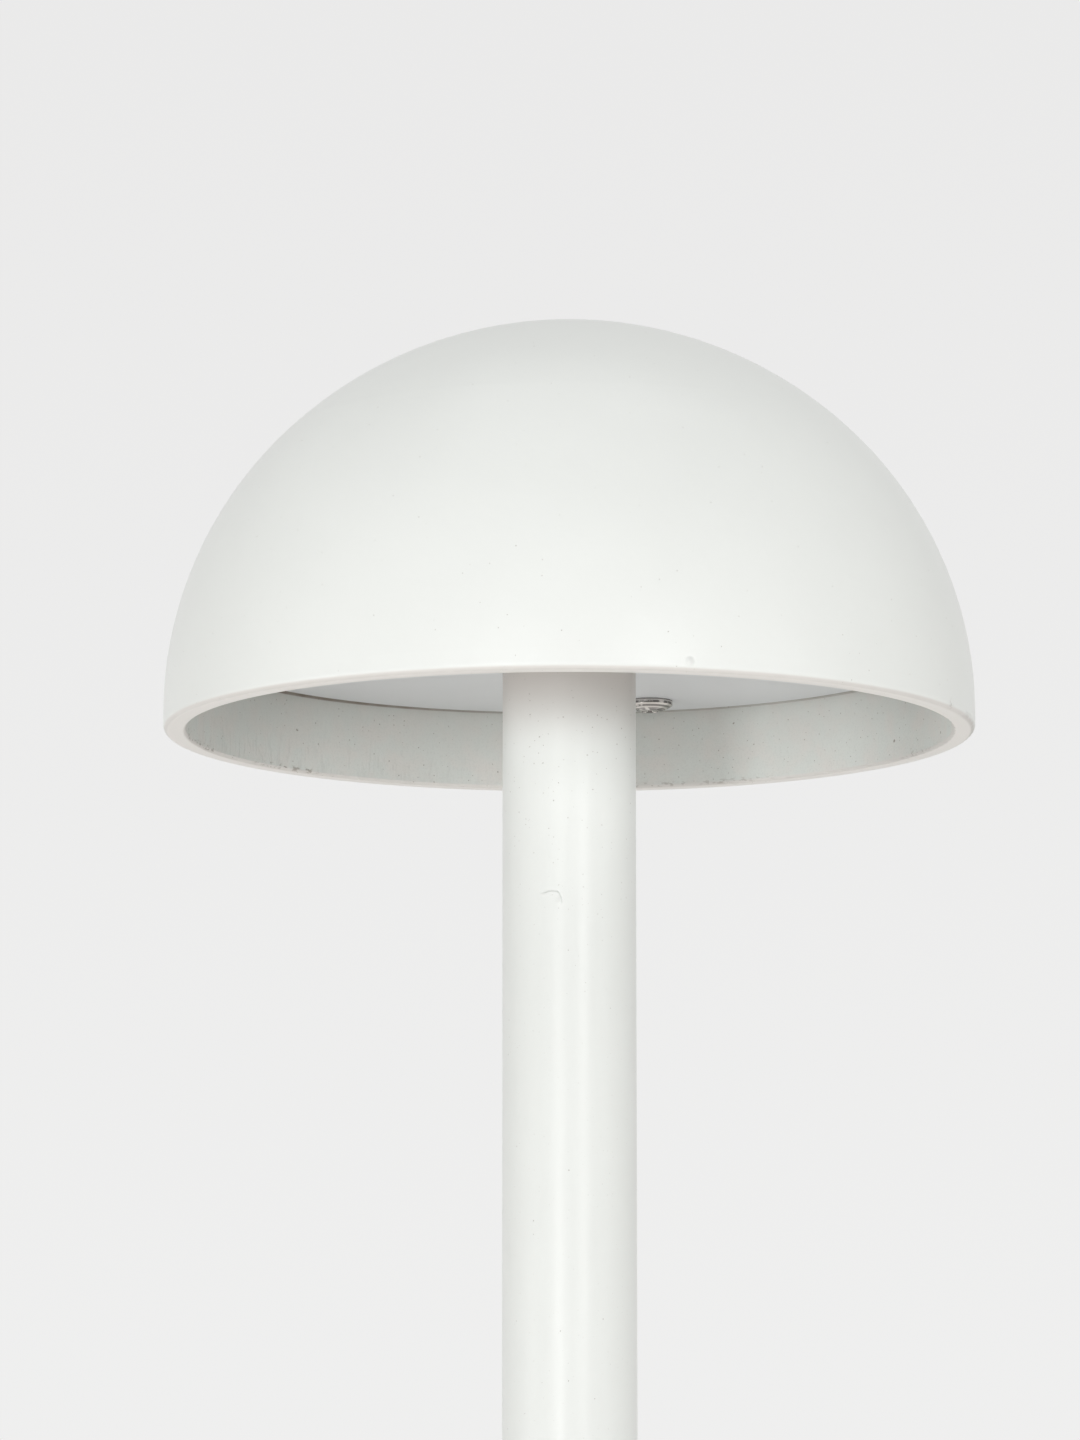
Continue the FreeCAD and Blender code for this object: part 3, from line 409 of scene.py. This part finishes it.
def wall_runs(tree, where, level):
    """Short runs of paint down the shade's inside wall, most of them low on the left."""
    streaks = tree.noise(tree.vector("MULTIPLY", where, STREAK_STRETCH), STREAK_SIZE, FINE)
    return tree.product(
        tree.step(streaks, *STREAK_CUT),
        tree.between(on_left(tree, where), *RUNS_SHARE),
        tree.between(tree.step(level, *WALL_LOW), *RUNS_SHARE),
    )


PATCH_SIZE = 7 * MM
PATCH_CUT = (0.35, 0.75)
# Painted shade darkens the wall deep in the shade.
WALL_DEEP = (rim_level + 2 * MM, diffuser_level + 3 * MM)
DEEP_SHADE_TONE = 0.38
SAND_CUT = (0.45, 0.75)
SAND_TONE = 0.25
SAND_SHADE = 0.75
RUNS_TONE = 0.15
RUNS_SHADE = 0.6


def wall_colour(tree, where, level, sand, runs):
    """The shade's inside wall: patchy, darker towards the diffuser as painted shade, with sand and runs.
    """
    patches = tree.step(tree.noise(where, PATCH_SIZE, FINE), *PATCH_CUT)
    wall = tree.mix(patches, COAT_INSIDE, COAT_WARM)
    # Painted shade: the wall darkens towards the diffuser.
    wall = tree.mix(tree.product(tree.step(level, *WALL_DEEP), DEEP_SHADE_TONE), wall, COAT_DEEP_SHADE)
    sandy = tree.product(tree.step(sand, *SAND_CUT), SAND_TONE)
    wall = tree.mix(sandy, wall, darker(COAT_INSIDE, SAND_SHADE))
    return tree.mix(tree.product(runs, RUNS_TONE), wall, darker(COAT_INSIDE, RUNS_SHADE))


PINHOLES = (2.1 * MM, 0.20 * MM, 0.5)
PITS = (1.3 * MM, 0.22 * MM, 0.8)
BLOWHOLES = (5.0 * MM, 0.50 * MM, 0.5)
GRIT = (1.2 * MM, 0.22 * MM, 0.7)
GRIT_BAND = (rim_level - 70 * MM, rim_level)
GRIT_SHARE = (0.2, 1.0)


def coat_specks(tree, where, level, inside, on_pole):
    """Pinholes all over, pits and blowholes inside the shade, and grit on the pole's upper end."""
    pits = tree.product(inside, tree.dots(where, *PITS))
    blowholes = tree.product(inside, tree.dots(where, *BLOWHOLES))
    upper = tree.between(tree.step(level, *GRIT_BAND), *GRIT_SHARE)
    grit = tree.product(on_pole, tree.dots(where, *GRIT), upper)
    specks = tree.dots(where, *PINHOLES)
    for kind in (pits, blowholes, grit):
        specks = tree.math("MAXIMUM", specks, kind)
    return specks


POLE_RING = (30 * MM, 25 * MM)
POLE_TOP = (diffuser_level + 20 * MM, diffuser_level + 10 * MM)
# Band up the pole that takes its dust tint and painted shade.
POLE_DUST_AND_SHADE_BAND = (rim_level - 8 * MM, rim_level + 14 * MM)
# Where the rim's painted bounce and painted shade lie.
RIM_RING = (85 * MM, 90 * MM)
RIM_BAND = (rim_level + 1.2 * MM, rim_level + 0.5 * MM)
RIM_FACE = (rim_level + 0.2 * MM, rim_level)
PAINT_NIB = (27.9 * MM, -97.6 * MM, rim_level + 2.4 * MM)
NIB_REACH = 1.4 * MM
MOTTLE_SIZE = 34 * MM
MOTTLE_CUT = (0.3, 0.7)
MOTTLE_SHADE = 0.985
PEEL_SIZE = 2.4 * MM
SAND_SIZE = 0.5 * MM
SPECK_TONE = (0.5, 0.75)
RIM_CHIP_TONE = 0.25

# Roughness of the coat, then what sand, the shade's inside and chips add to it
COAT_ROUGHNESS = (0.29, 0.35)
SAND_ROUGHNESS = 0.04
INSIDE_ROUGHNESS = 0.2
CHIPS_ROUGHNESS = 0.25
COAT_SPECULAR = 0.25

# Relief of the coat: peel and sand outside and inside the shade, then single flaws
PEEL_HEIGHT = (0.035 * MM, 0.06 * MM)
SAND_HEIGHT = (0.008 * MM, 0.03 * MM)
RUNS_HEIGHT = 0.08 * MM
SPECK_DEPTH = 0.05 * MM
NIB_HEIGHT = 0.36 * MM
RIM_CHIP_DEPTH = 0.12 * MM
CURL_HEIGHT = 0.20 * MM


def powder_coat():
    """Satin off-white powder coat: orange peel, sand, pinholes and, inside the shade, a rougher
    coat with runs and chipped edges over the bare casting."""
    material, tree = new_material("powder_coat")
    where = tree.place()
    level = tree.parts(where)[2]
    radius = from_axis(tree, where)
    inside = shade_inside(tree, where, radius)
    outside = tree.math("SUBTRACT", 1.0, inside)
    on_pole = tree.product(tree.step(radius, *POLE_RING), tree.step(level, *POLE_TOP))
    # Dust and painted shade on the pole's top inside the shade.
    pole_dust_and_shade = tree.product(on_pole, tree.step(level, *POLE_DUST_AND_SHADE_BAND))
    # Painted light on the rim: warm bounce on its face, painted shade on its fillet.
    rim = tree.product(tree.step(level, *RIM_BAND), tree.step(radius, *RIM_RING))
    rim_painted_light = tree.mix(tree.step(level, *RIM_FACE), LIP_PAINTED_SHADE, RIM_PAINTED_BOUNCE)
    mottle = tree.noise(where, MOTTLE_SIZE, FINE)
    peel = tree.noise(where, PEEL_SIZE)
    sand = tree.noise(where, SAND_SIZE, FINE)
    runs = wall_runs(tree, where, level)
    chips = edge_chips(tree, where, level, inside)
    lone_chip = rim_chip(tree, where)
    specks = tree.math("MAXIMUM", coat_specks(tree, where, level, inside, on_pole), chips)
    nib = tree.product(tree.spot(where, PAINT_NIB, NIB_REACH), outside)

    colour = tree.mix(tree.step(mottle, *MOTTLE_CUT), darker(COAT, MOTTLE_SHADE), COAT)
    # The inside wall's darker colours are painted shade.
    colour = tree.mix(inside, colour, wall_colour(tree, where, level, sand, runs))
    colour = tree.mix(rim, colour, rim_painted_light)
    colour = tree.mix(pole_dust_and_shade, colour, COAT_DUST_AND_SHADE)
    colour = tree.mix(tree.product(specks, tree.between(inside, *SPECK_TONE)), colour, SPECK)
    colour = tree.mix(tree.product(lone_chip, RIM_CHIP_TONE), colour, SPECK)
    # Grime and painted shadow where the diffuser's edge meets the wall.
    colour = tree.mix(seam_grime_and_shadow(tree, where, inside), colour, SEAM_GRIME_AND_SHADOW)
    roughness = tree.total(
        tree.between(mottle, *COAT_ROUGHNESS),
        tree.product(sand, SAND_ROUGHNESS),
        tree.product(inside, INSIDE_ROUGHNESS),
        tree.product(chips, CHIPS_ROUGHNESS),
    )
    height = tree.total(
        tree.product(peel, tree.between(inside, *PEEL_HEIGHT)),
        tree.product(sand, tree.between(inside, *SAND_HEIGHT)),
        tree.product(inside, runs, RUNS_HEIGHT),
        tree.product(specks, -SPECK_DEPTH),
        tree.product(nib, NIB_HEIGHT),
        tree.product(lone_chip, -RIM_CHIP_DEPTH),
        tree.product(paint_curl(tree, where), CURL_HEIGHT),
    )
    tree.surface(
        Base_Color=colour,
        Roughness=roughness,
        Specular_IOR_Level=COAT_SPECULAR,
        Normal=tree.bump(height),
    )
    return material


OPAL_DARK = rgb(0.642, 0.660, 0.676)
OPAL_LIGHT = rgb(0.660, 0.678, 0.694)
OPAL_ROUGHNESS = (0.30, 0.36)
# The disc's dark outer edge: grime and painted shadow of its gap at the wall.
OPAL_SHADOWED_EDGE = (diffuser_radius - 0.9 * MM, diffuser_radius - 0.2 * MM)
CLOUD_SIZE = 45 * MM
WIPE_SIZE = 5 * MM
WIPE_STRETCH = (1.0, 0.15, 1.0)
DUST = (2.6 * MM, 0.20 * MM, 0.15)
DUST_AND_SHADOW_TONE = 0.5
WAVE_SIZE = 14 * MM
WAVE_HEIGHT = 0.02 * MM


def opal():
    """Opal acrylic: smooth, with dust specks, a dark edge of grime and painted shadow, and faint wiping
    marks.
    """
    material, tree = new_material("opal")
    where = tree.place()
    wiped = tree.noise(tree.vector("MULTIPLY", where, WIPE_STRETCH), WIPE_SIZE, FINE)
    edge = tree.step(from_axis(tree, where), *OPAL_SHADOWED_EDGE)
    # Dust specks, and grime with painted shadow at the edge.
    dirt_and_shade = tree.product(tree.math("MAXIMUM", tree.dots(where, *DUST), edge), DUST_AND_SHADOW_TONE)
    clear = tree.mix(tree.noise(where, CLOUD_SIZE), OPAL_DARK, OPAL_LIGHT)
    tree.surface(
        Base_Color=tree.mix(dirt_and_shade, clear, SPECK),
        Roughness=tree.between(wiped, *OPAL_ROUGHNESS),
        Normal=tree.bump(tree.product(tree.noise(where, WAVE_SIZE), WAVE_HEIGHT)),
    )
    return material


MARK_SIZE = 0.22 * MM
MARK_HEIGHT = 0.005 * MM
MARK_ROUGHNESS = (0.7, 1.2)
STAIN_SIZE = 2.2 * MM
STAIN_CUT = (0.5, 0.75)
STAIN_SHADE = 0.7
STAIN_ROUGHNESS = 0.15


def plated(name, tint, rough):
    """Plated steel with fine turning marks and a few dull stains."""
    material, tree = new_material(name)
    where = tree.place()
    marks = tree.noise(where, MARK_SIZE, FINE)
    stain = tree.step(tree.noise(where, STAIN_SIZE, FINE), *STAIN_CUT)
    smooth, dull = (rough * share for share in MARK_ROUGHNESS)
    tree.surface(
        Base_Color=tree.mix(stain, tint, darker(tint, STAIN_SHADE)),
        Metallic=1.0,
        Roughness=tree.total(tree.between(marks, smooth, dull), tree.product(stain, STAIN_ROUGHNESS)),
        Normal=tree.bump(tree.product(marks, MARK_HEIGHT)),
    )
    return material


BRUSH_SIZE = 0.4 * MM
BRUSH_STRETCH = (0.04, 1.0, 1.0)
BRUSH_HEIGHT = 0.004 * MM
BRUSH_SHADE = 0.85
BRUSH_ROUGHNESS = (0.8, 1.2)


def brushed(name, tint, rough):
    """Sheet metal brushed along X."""
    material, tree = new_material(name)
    lines = tree.noise(tree.vector("MULTIPLY", tree.place(), BRUSH_STRETCH), BRUSH_SIZE)
    smooth, dull = (rough * share for share in BRUSH_ROUGHNESS)
    tree.surface(
        Base_Color=tree.mix(lines, darker(tint, BRUSH_SHADE), tint),
        Metallic=1.0,
        Roughness=tree.between(lines, smooth, dull),
        Normal=tree.bump(tree.product(lines, BRUSH_HEIGHT)),
    )
    return material


MOULD_CLOUD = 12 * MM
MOULD_SHADE = 0.88
MOULD_SPREAD = 0.06
GRAIN_STEEPNESS = 0.03


def moulded(name, tint, rough, grain):
    """Moulded plastic or rubber with a grain of a size in metres."""
    material, tree = new_material(name)
    where = tree.place()
    fine = tree.noise(where, grain)
    broad = tree.noise(where, MOULD_CLOUD)
    tree.surface(
        Base_Color=tree.mix(broad, darker(tint, MOULD_SHADE), tint),
        Roughness=tree.between(fine, rough - MOULD_SPREAD, rough + MOULD_SPREAD),
        Normal=tree.bump(tree.product(fine, grain * GRAIN_STEEPNESS)),
    )
    return material


NICKEL = rgb(0.74, 0.71, 0.68)
NICKEL_DIRT_AND_SHADE = rgb(0.07, 0.06, 0.05)
NICKEL_ROUGHNESS = (0.10, 0.22)
TURNING_SIZE = 0.35 * MM
TURNING_HEIGHT = 0.02 * MM
# Dark rings round the head: painted reflections.
BAND_SIZE = 0.6 * MM
BAND_CUT = (0.43, 0.55)
BAND_BREAK_SIZE = 1.8 * MM
BAND_BREAK_CUT = (0.36, 0.50)
BAND_TONE = 0.85
BAND_SHADE = 0.15
# Grime and painted shade in the cross recess and at the head's edge.
RECESS_DEEP = (0.45 * MM, 0.8 * MM)
RECESS_RING = (2.9 * MM, 2.5 * MM)
SKIRT_BAND = (HEAD_HEIGHT - 0.35 * MM, HEAD_HEIGHT - 0.1 * MM)
SKIRT_SHARE = 0.8
DIRT_AND_SHADE_TONE = 0.85
DIRT_AND_SHADE_ROUGHNESS = 0.4


def nickel():
    """Bright nickel on a screw, in the screw's own frame: turning marks round the head, dark rings that
    are painted reflections, and grime and painted shade in the cross recess and where the head meets
    what it holds."""
    material, tree = new_material("nickel")
    where = tree.place()
    height = tree.parts(where)[2]
    radius = from_axis(tree, where)
    turned = tree.noise(tree.joined(radius, 0.0, 0.0), TURNING_SIZE, FINE)
    # Painted reflections: dark rings round the head.
    painted_reflection_bands = tree.step(tree.noise(tree.joined(radius, height, 0.0), BAND_SIZE), *BAND_CUT)
    broken = tree.step(tree.noise(where, BAND_BREAK_SIZE, FINE), *BAND_BREAK_CUT)
    # Grime and painted shade in the recess and where the head meets what it holds.
    recess = tree.product(tree.step(height, *RECESS_DEEP), tree.step(radius, *RECESS_RING))
    skirt = tree.product(tree.step(height, *SKIRT_BAND), SKIRT_SHARE)
    dirt_and_shade = tree.math("MAXIMUM", recess, skirt)
    colour = tree.mix(tree.product(painted_reflection_bands, broken, BAND_TONE), NICKEL, darker(NICKEL, BAND_SHADE))
    tree.surface(
        Base_Color=tree.mix(tree.product(dirt_and_shade, DIRT_AND_SHADE_TONE), colour, NICKEL_DIRT_AND_SHADE),
        Metallic=1.0,
        Roughness=tree.total(tree.between(turned, *NICKEL_ROUGHNESS), tree.product(dirt_and_shade, DIRT_AND_SHADE_ROUGHNESS)),
        Normal=tree.bump(tree.product(turned, TURNING_HEIGHT)),
    )
    return material


# Finish of each slot: tint and roughness where a maker is shared, and the grain of plastics
FINISHES = {
    "powder_coat": powder_coat(),
    "opal": opal(),
    "silicone": moulded("silicone", rgb(0.70, 0.70, 0.68), 0.55, 0.5 * MM),
    "nickel": nickel(),
    "tray_metal": brushed("tray_metal", rgb(0.78, 0.79, 0.80), 0.35),
    "zinc_steel": plated("zinc_steel", rgb(0.66, 0.68, 0.70), 0.30),
    "dark_steel": plated("dark_steel", rgb(0.10, 0.10, 0.11), 0.38),
    "tinned_brass": plated("tinned_brass", rgb(0.72, 0.70, 0.64), 0.28),
    "board_white": moulded("board_white", rgb(0.82, 0.83, 0.82), 0.35, 0.4 * MM),
    "chip_yellow": moulded("chip_yellow", rgb(0.80, 0.62, 0.12), 0.30, 0.3 * MM),
    "terminal_plastic": moulded("terminal_plastic", rgb(0.80, 0.80, 0.77), 0.40, 0.4 * MM),
    "wire_red": moulded("wire_red", rgb(0.45, 0.03, 0.02), 0.35, 0.4 * MM),
    "driver_case": moulded("driver_case", rgb(0.03, 0.03, 0.032), 0.50, 0.6 * MM),
    "wire_green": moulded("wire_green", rgb(0.05, 0.28, 0.06), 0.35, 0.4 * MM),
    "lead_jacket": moulded("lead_jacket", rgb(0.02, 0.02, 0.02), 0.50, 0.5 * MM),
    "connector_plastic": moulded("connector_plastic", rgb(0.025, 0.025, 0.027), 0.45, 0.6 * MM),
    "rubber_black": moulded("rubber_black", rgb(0.022, 0.022, 0.022), 0.65, 0.5 * MM),
}


def finish_nodes():
    """Gives each CAD node the finish of its slot in the record."""
    for part in frame["record"]["subparts"]:
        mesh = nodes[part["node"]].data
        mesh.materials.clear()
        mesh.materials.append(FINISHES[part["material_slot"]])


# Screw meshes

LATHE_STEPS = 64
DOME_STEPS = 14
WELD = 0.001 * MM

# Ends of the cross cutter, above the crown and at the tip: height, reach and half width of its arms
CROSS_TOP = (-0.5 * MM, 0.5 * CROSS_SPAN, 0.5 * CROSS_WIDTH)
CROSS_TIP = (CROSS_DEPTH, 0.18 * CROSS_SPAN, 0.3 * CROSS_WIDTH)

# Softened edges, and the slivers merged before and after
BEVEL_WIDTH = 0.09 * MM
BEVEL_SEGMENTS = 2
BEVEL_ANGLE = math.radians(35)
SHARP_ANGLE = math.radians(32)
CUT_SLIVER = 0.06 * MM
BEVEL_SLIVER = 0.008 * MM

# How far each screw is turned, in radians
SCREW_TURNS = (0.08, 1.1, 0.7)


def linked(name, shape):
    """An object in the scene from a bmesh, which is freed."""
    mesh = bpy.data.meshes.new(name)
    shape.to_mesh(mesh)
    shape.free()
    item = bpy.data.objects.new(name, mesh)
    bpy.context.scene.collection.objects.link(item)
    return item


def truss_profile():
    """Radius and height of the screw from the crown of its head to the tip of its shank."""
    rise = HEAD_HEIGHT - HEAD_EDGE
    bend = (HEAD_RADIUS**2 + rise**2) / (2 * rise)
    reach = math.asin(HEAD_RADIUS / bend)
    points = []
    for step in range(DOME_STEPS + 1):
        angle = reach * step / DOME_STEPS
        points.append((bend * math.sin(angle), bend * (1 - math.cos(angle))))
    points.append((HEAD_RADIUS, HEAD_HEIGHT))
    points.append((SHANK_RADIUS, HEAD_HEIGHT))
    points.append((SHANK_RADIUS, HEAD_HEIGHT + SHANK_LENGTH))
    points.append((0.0, HEAD_HEIGHT + SHANK_LENGTH))
    return points


def lathed(name, profile):
    """A closed turned solid from a profile that starts and ends on the axis."""
    shape = bmesh.new()
    ring = [shape.verts.new((radius, 0.0, height)) for radius, height in profile]
    for first, second in zip(ring, ring[1:]):
        shape.edges.new((first, second))
    bmesh.ops.spin(
        shape,
        geom=shape.verts[:] + shape.edges[:],
        axis=(0, 0, 1),
        cent=(0, 0, 0),
        steps=LATHE_STEPS,
        angle=2 * math.pi,
    )
    bmesh.ops.remove_doubles(shape, verts=shape.verts, dist=WELD)
    bmesh.ops.recalc_face_normals(shape, faces=shape.faces)
    return linked(name, shape)


def cross_cutter(name):
    """A cross that narrows with depth, for the drive recess in a screw's head."""
    shape = bmesh.new()
    rings = []
    for height, reach, half in (CROSS_TOP, CROSS_TIP):
        corners = []
        for quarter in range(4):
            turn = Matrix.Rotation(quarter * math.pi / 2, 4, "Z")
            for corner in ((reach, -half, height), (reach, half, height), (half, half, height)):
                corners.append(shape.verts.new(turn @ Vector(corner)))
        rings.append(corners)
    top, tip = rings
    for first in range(len(top)):
        second = (first + 1) % len(top)
        shape.faces.new((top[first], top[second], tip[second], tip[first]))
    shape.faces.new(top)
    shape.faces.new(tip)
    bmesh.ops.recalc_face_normals(shape, faces=shape.faces)
    return linked(name, shape)


def applied(item, sliver):
    """Replaces an object's mesh by what its modifiers make of it, with slivers up to a size merged."""
    result = bpy.data.meshes.new_from_object(item.evaluated_get(bpy.context.evaluated_depsgraph_get()))
    shape = bmesh.new()
    shape.from_mesh(result)
    bmesh.ops.remove_doubles(shape, verts=shape.verts, dist=sliver)
    bmesh.ops.dissolve_degenerate(shape, edges=shape.edges, dist=sliver)
    shape.to_mesh(result)
    shape.free()
    item.modifiers.clear()
    item.data = result


def truss_screw():
    """The mesh of one truss-head screw with a cross recess and softened edges, crown at the origin."""
    screw = lathed("truss_screw", truss_profile())
    cutter = cross_cutter("cross_cutter")
    cut = screw.modifiers.new("cross", "BOOLEAN")
    cut.operation = "DIFFERENCE"
    cut.object = cutter
    applied(screw, CUT_SLIVER)
    bevel = screw.modifiers.new("soft_edges", "BEVEL")
    bevel.width = BEVEL_WIDTH
    bevel.segments = BEVEL_SEGMENTS
    bevel.limit_method = "ANGLE"
    bevel.angle_limit = BEVEL_ANGLE
    bevel.harden_normals = True
    applied(screw, BEVEL_SLIVER)
    mesh = screw.data
    bpy.data.objects.remove(screw)
    bpy.data.objects.remove(cutter)
    mesh.shade_smooth()
    mesh.set_sharp_from_angle(angle=SHARP_ANGLE)
    mesh.materials.append(FINISHES["nickel"])
    return mesh


def diffuser_screws():
    """Three detailed screws in place of the CAD ones, each turned as it was driven home."""
    mesh = truss_screw()
    circle = diffuser_radius - SCREW_INSET
    for number, driven in enumerate(SCREW_TURNS):
        angle = HEAD_ANGLE + number * 2 * math.pi / len(SCREW_TURNS)
        screw = bpy.data.objects.new(f"diffuser_screw_{number}", mesh)
        place = (circle * math.cos(angle), circle * math.sin(angle), diffuser_level - HEAD_HEIGHT)
        screw.matrix_world = Matrix.Translation(place) @ Matrix.Rotation(driven, 4, "Z")
        bpy.context.scene.collection.objects.link(screw)
        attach(screw, "root")
        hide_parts("diffuser_screws")


# Studio

# Light from the room: its weight from above against behind, and the directions where it starts and
# is full; then the same for light from under the horizon
ROOM_TINT = rgb(1.0, 0.995, 0.972)
ROOM_LIGHT = 0.70
ROOM_ABOVE = 1.05
ROOM_LIT = (-0.3, 0.3)
UNDER_LIGHT = 0.55
UNDER_LIT = (-0.02, -0.2)

BACKDROP_LOW = rgb(0.865, 0.865, 0.862)
BACKDROP_HIGH = rgb(0.825, 0.822, 0.820)
BACKDROP_RISE = (0.0, 0.3)
FLOOR = rgb(0.915, 0.895, 0.875)
FLOOR_RADIUS = 30.0
FLOOR_SEGMENTS = 128
FLOOR_GAP = 0.2 * MM
FLOOR_FADE = (0.25, 1.2)
LAMP_DISTANCE = 1.7
LAMP_AIM = 30 * MM
LAMPS = {
    # Degrees round from the camera, degrees up, width, height, watts
    "key_left": (-18, -7, 0.22, 0.45, 8.5),
    "key_right": (24, 3, 0.36, 0.45, 7.0),
    "fill_left": (-68, -12, 0.50, 0.36, 3.9),
    "fill_right": (60, 0, 0.50, 0.60, 2.2),
    "top": (0, 88, 1.20, 1.20, 4.7),
}


def studio_world():
    """A pale backdrop all round, which lights the object from above and behind, and the foot's
    underside; the room in front is dim, because the lamps stand there."""
    world = bpy.data.worlds.new("studio")
    world.use_nodes = True
    tree = Tree(world.node_tree)
    _, forward, up = tree.parts(tree.add("ShaderNodeTexCoord").outputs["Generated"])
    lit = tree.step(tree.total(forward, tree.product(up, ROOM_ABOVE)), *ROOM_LIT)
    under = tree.product(tree.step(up, *UNDER_LIT), UNDER_LIGHT)
    lit = tree.math("MAXIMUM", lit, under)
    room = tree.shader("ShaderNodeBackground", Color=ROOM_TINT, Strength=tree.product(lit, ROOM_LIGHT))
    tint = tree.mix(tree.step(up, *BACKDROP_RISE), BACKDROP_LOW, BACKDROP_HIGH)
    backdrop = tree.shader("ShaderNodeBackground", Color=tint)
    tree.finish(tree.blend(tree.seen(), room, backdrop), "ShaderNodeOutputWorld")
    bpy.context.scene.world = world


def studio_floor():
    """A plain pale floor, slightly warm, that takes the object's shadow and runs into the backdrop
    further off. It is clear from below, and lets light through to the foot's underside."""
    material, tree = new_material("floor_paint")
    material.cycles.emission_sampling = "NONE"
    distance = tree.vector("LENGTH", tree.place(), output="Value")
    away = tree.step(distance, *FLOOR_FADE)
    paint = tree.shader("ShaderNodeBsdfDiffuse", Color=FLOOR)
    backdrop = tree.shader("ShaderNodeEmission", Color=BACKDROP_LOW)
    top = tree.blend(tree.product(tree.seen(), away), paint, backdrop)
    scattered = tree.add("ShaderNodeLightPath").outputs["Is Diffuse Ray"]
    foot = tree.product(scattered, tree.math("LESS_THAN", distance, foot_radius))
    below = tree.add("ShaderNodeNewGeometry").outputs["Backfacing"]
    clear = tree.math("MAXIMUM", below, foot)
    tree.finish(tree.blend(clear, top, tree.shader("ShaderNodeBsdfTransparent")))
    shape = bmesh.new()
    bmesh.ops.create_circle(shape, cap_ends=True, radius=FLOOR_RADIUS, segments=FLOOR_SEGMENTS)
    floor = linked("floor", shape)
    floor.location.z = floor_level - FLOOR_GAP
    floor.data.materials.append(material)


def studio_lamps():
    """Softboxes round the front of the object, about level with the shade's rim, and one above it."""
    head = Vector((0.0, 0.0, rim_level + LAMP_AIM))
    for name, (around, up, width, height, watts) in LAMPS.items():
        around, up = math.radians(around), math.radians(up)
        way = Vector((math.sin(around) * math.cos(up), -math.cos(around) * math.cos(up), math.sin(up)))
        lamp = bpy.data.lights.new(name, "AREA")
        lamp.shape = "RECTANGLE"
        lamp.size = width
        lamp.size_y = height
        lamp.energy = watts
        item = bpy.data.objects.new(name, lamp)
        item.location = head + LAMP_DISTANCE * way
        item.rotation_euler = way.to_track_quat("Z", "Y").to_euler()
        bpy.context.scene.collection.objects.link(item)


# Camera: the photograph is 1080 by 1440 pixels, with the dome's axis right of the middle

PHOTO_WIDTH = 1080
PHOTO_HEIGHT = 1440
FOCAL_PIXELS = 6061
AXIS_PIXEL = 569.5
CAMERA_DISTANCE = 1.5
CAMERA_BELOW_RIM = 0.2307
CAMERA_PITCH = 0.155
SENSOR = 36.0


def photo_camera():
    """The photograph's camera: below the rim, a long lens, tilted up at the dome."""
    data = bpy.data.cameras.new("camera")
    data.sensor_width = SENSOR
    data.lens = FOCAL_PIXELS * SENSOR / PHOTO_HEIGHT
    camera = bpy.data.objects.new("camera", data)
    aside = (AXIS_PIXEL - PHOTO_WIDTH / 2) / FOCAL_PIXELS * CAMERA_DISTANCE
    camera.location = (-aside, -CAMERA_DISTANCE, rim_level - CAMERA_BELOW_RIM)
    camera.rotation_euler = (math.pi / 2 + CAMERA_PITCH, 0.0, 0.0)
    bpy.context.scene.collection.objects.link(camera)
    bpy.context.scene.camera = camera


finish_nodes()
diffuser_screws()
studio_world()
studio_floor()
studio_lamps()
photo_camera()
bpy.context.scene.view_settings.view_transform = "Standard"
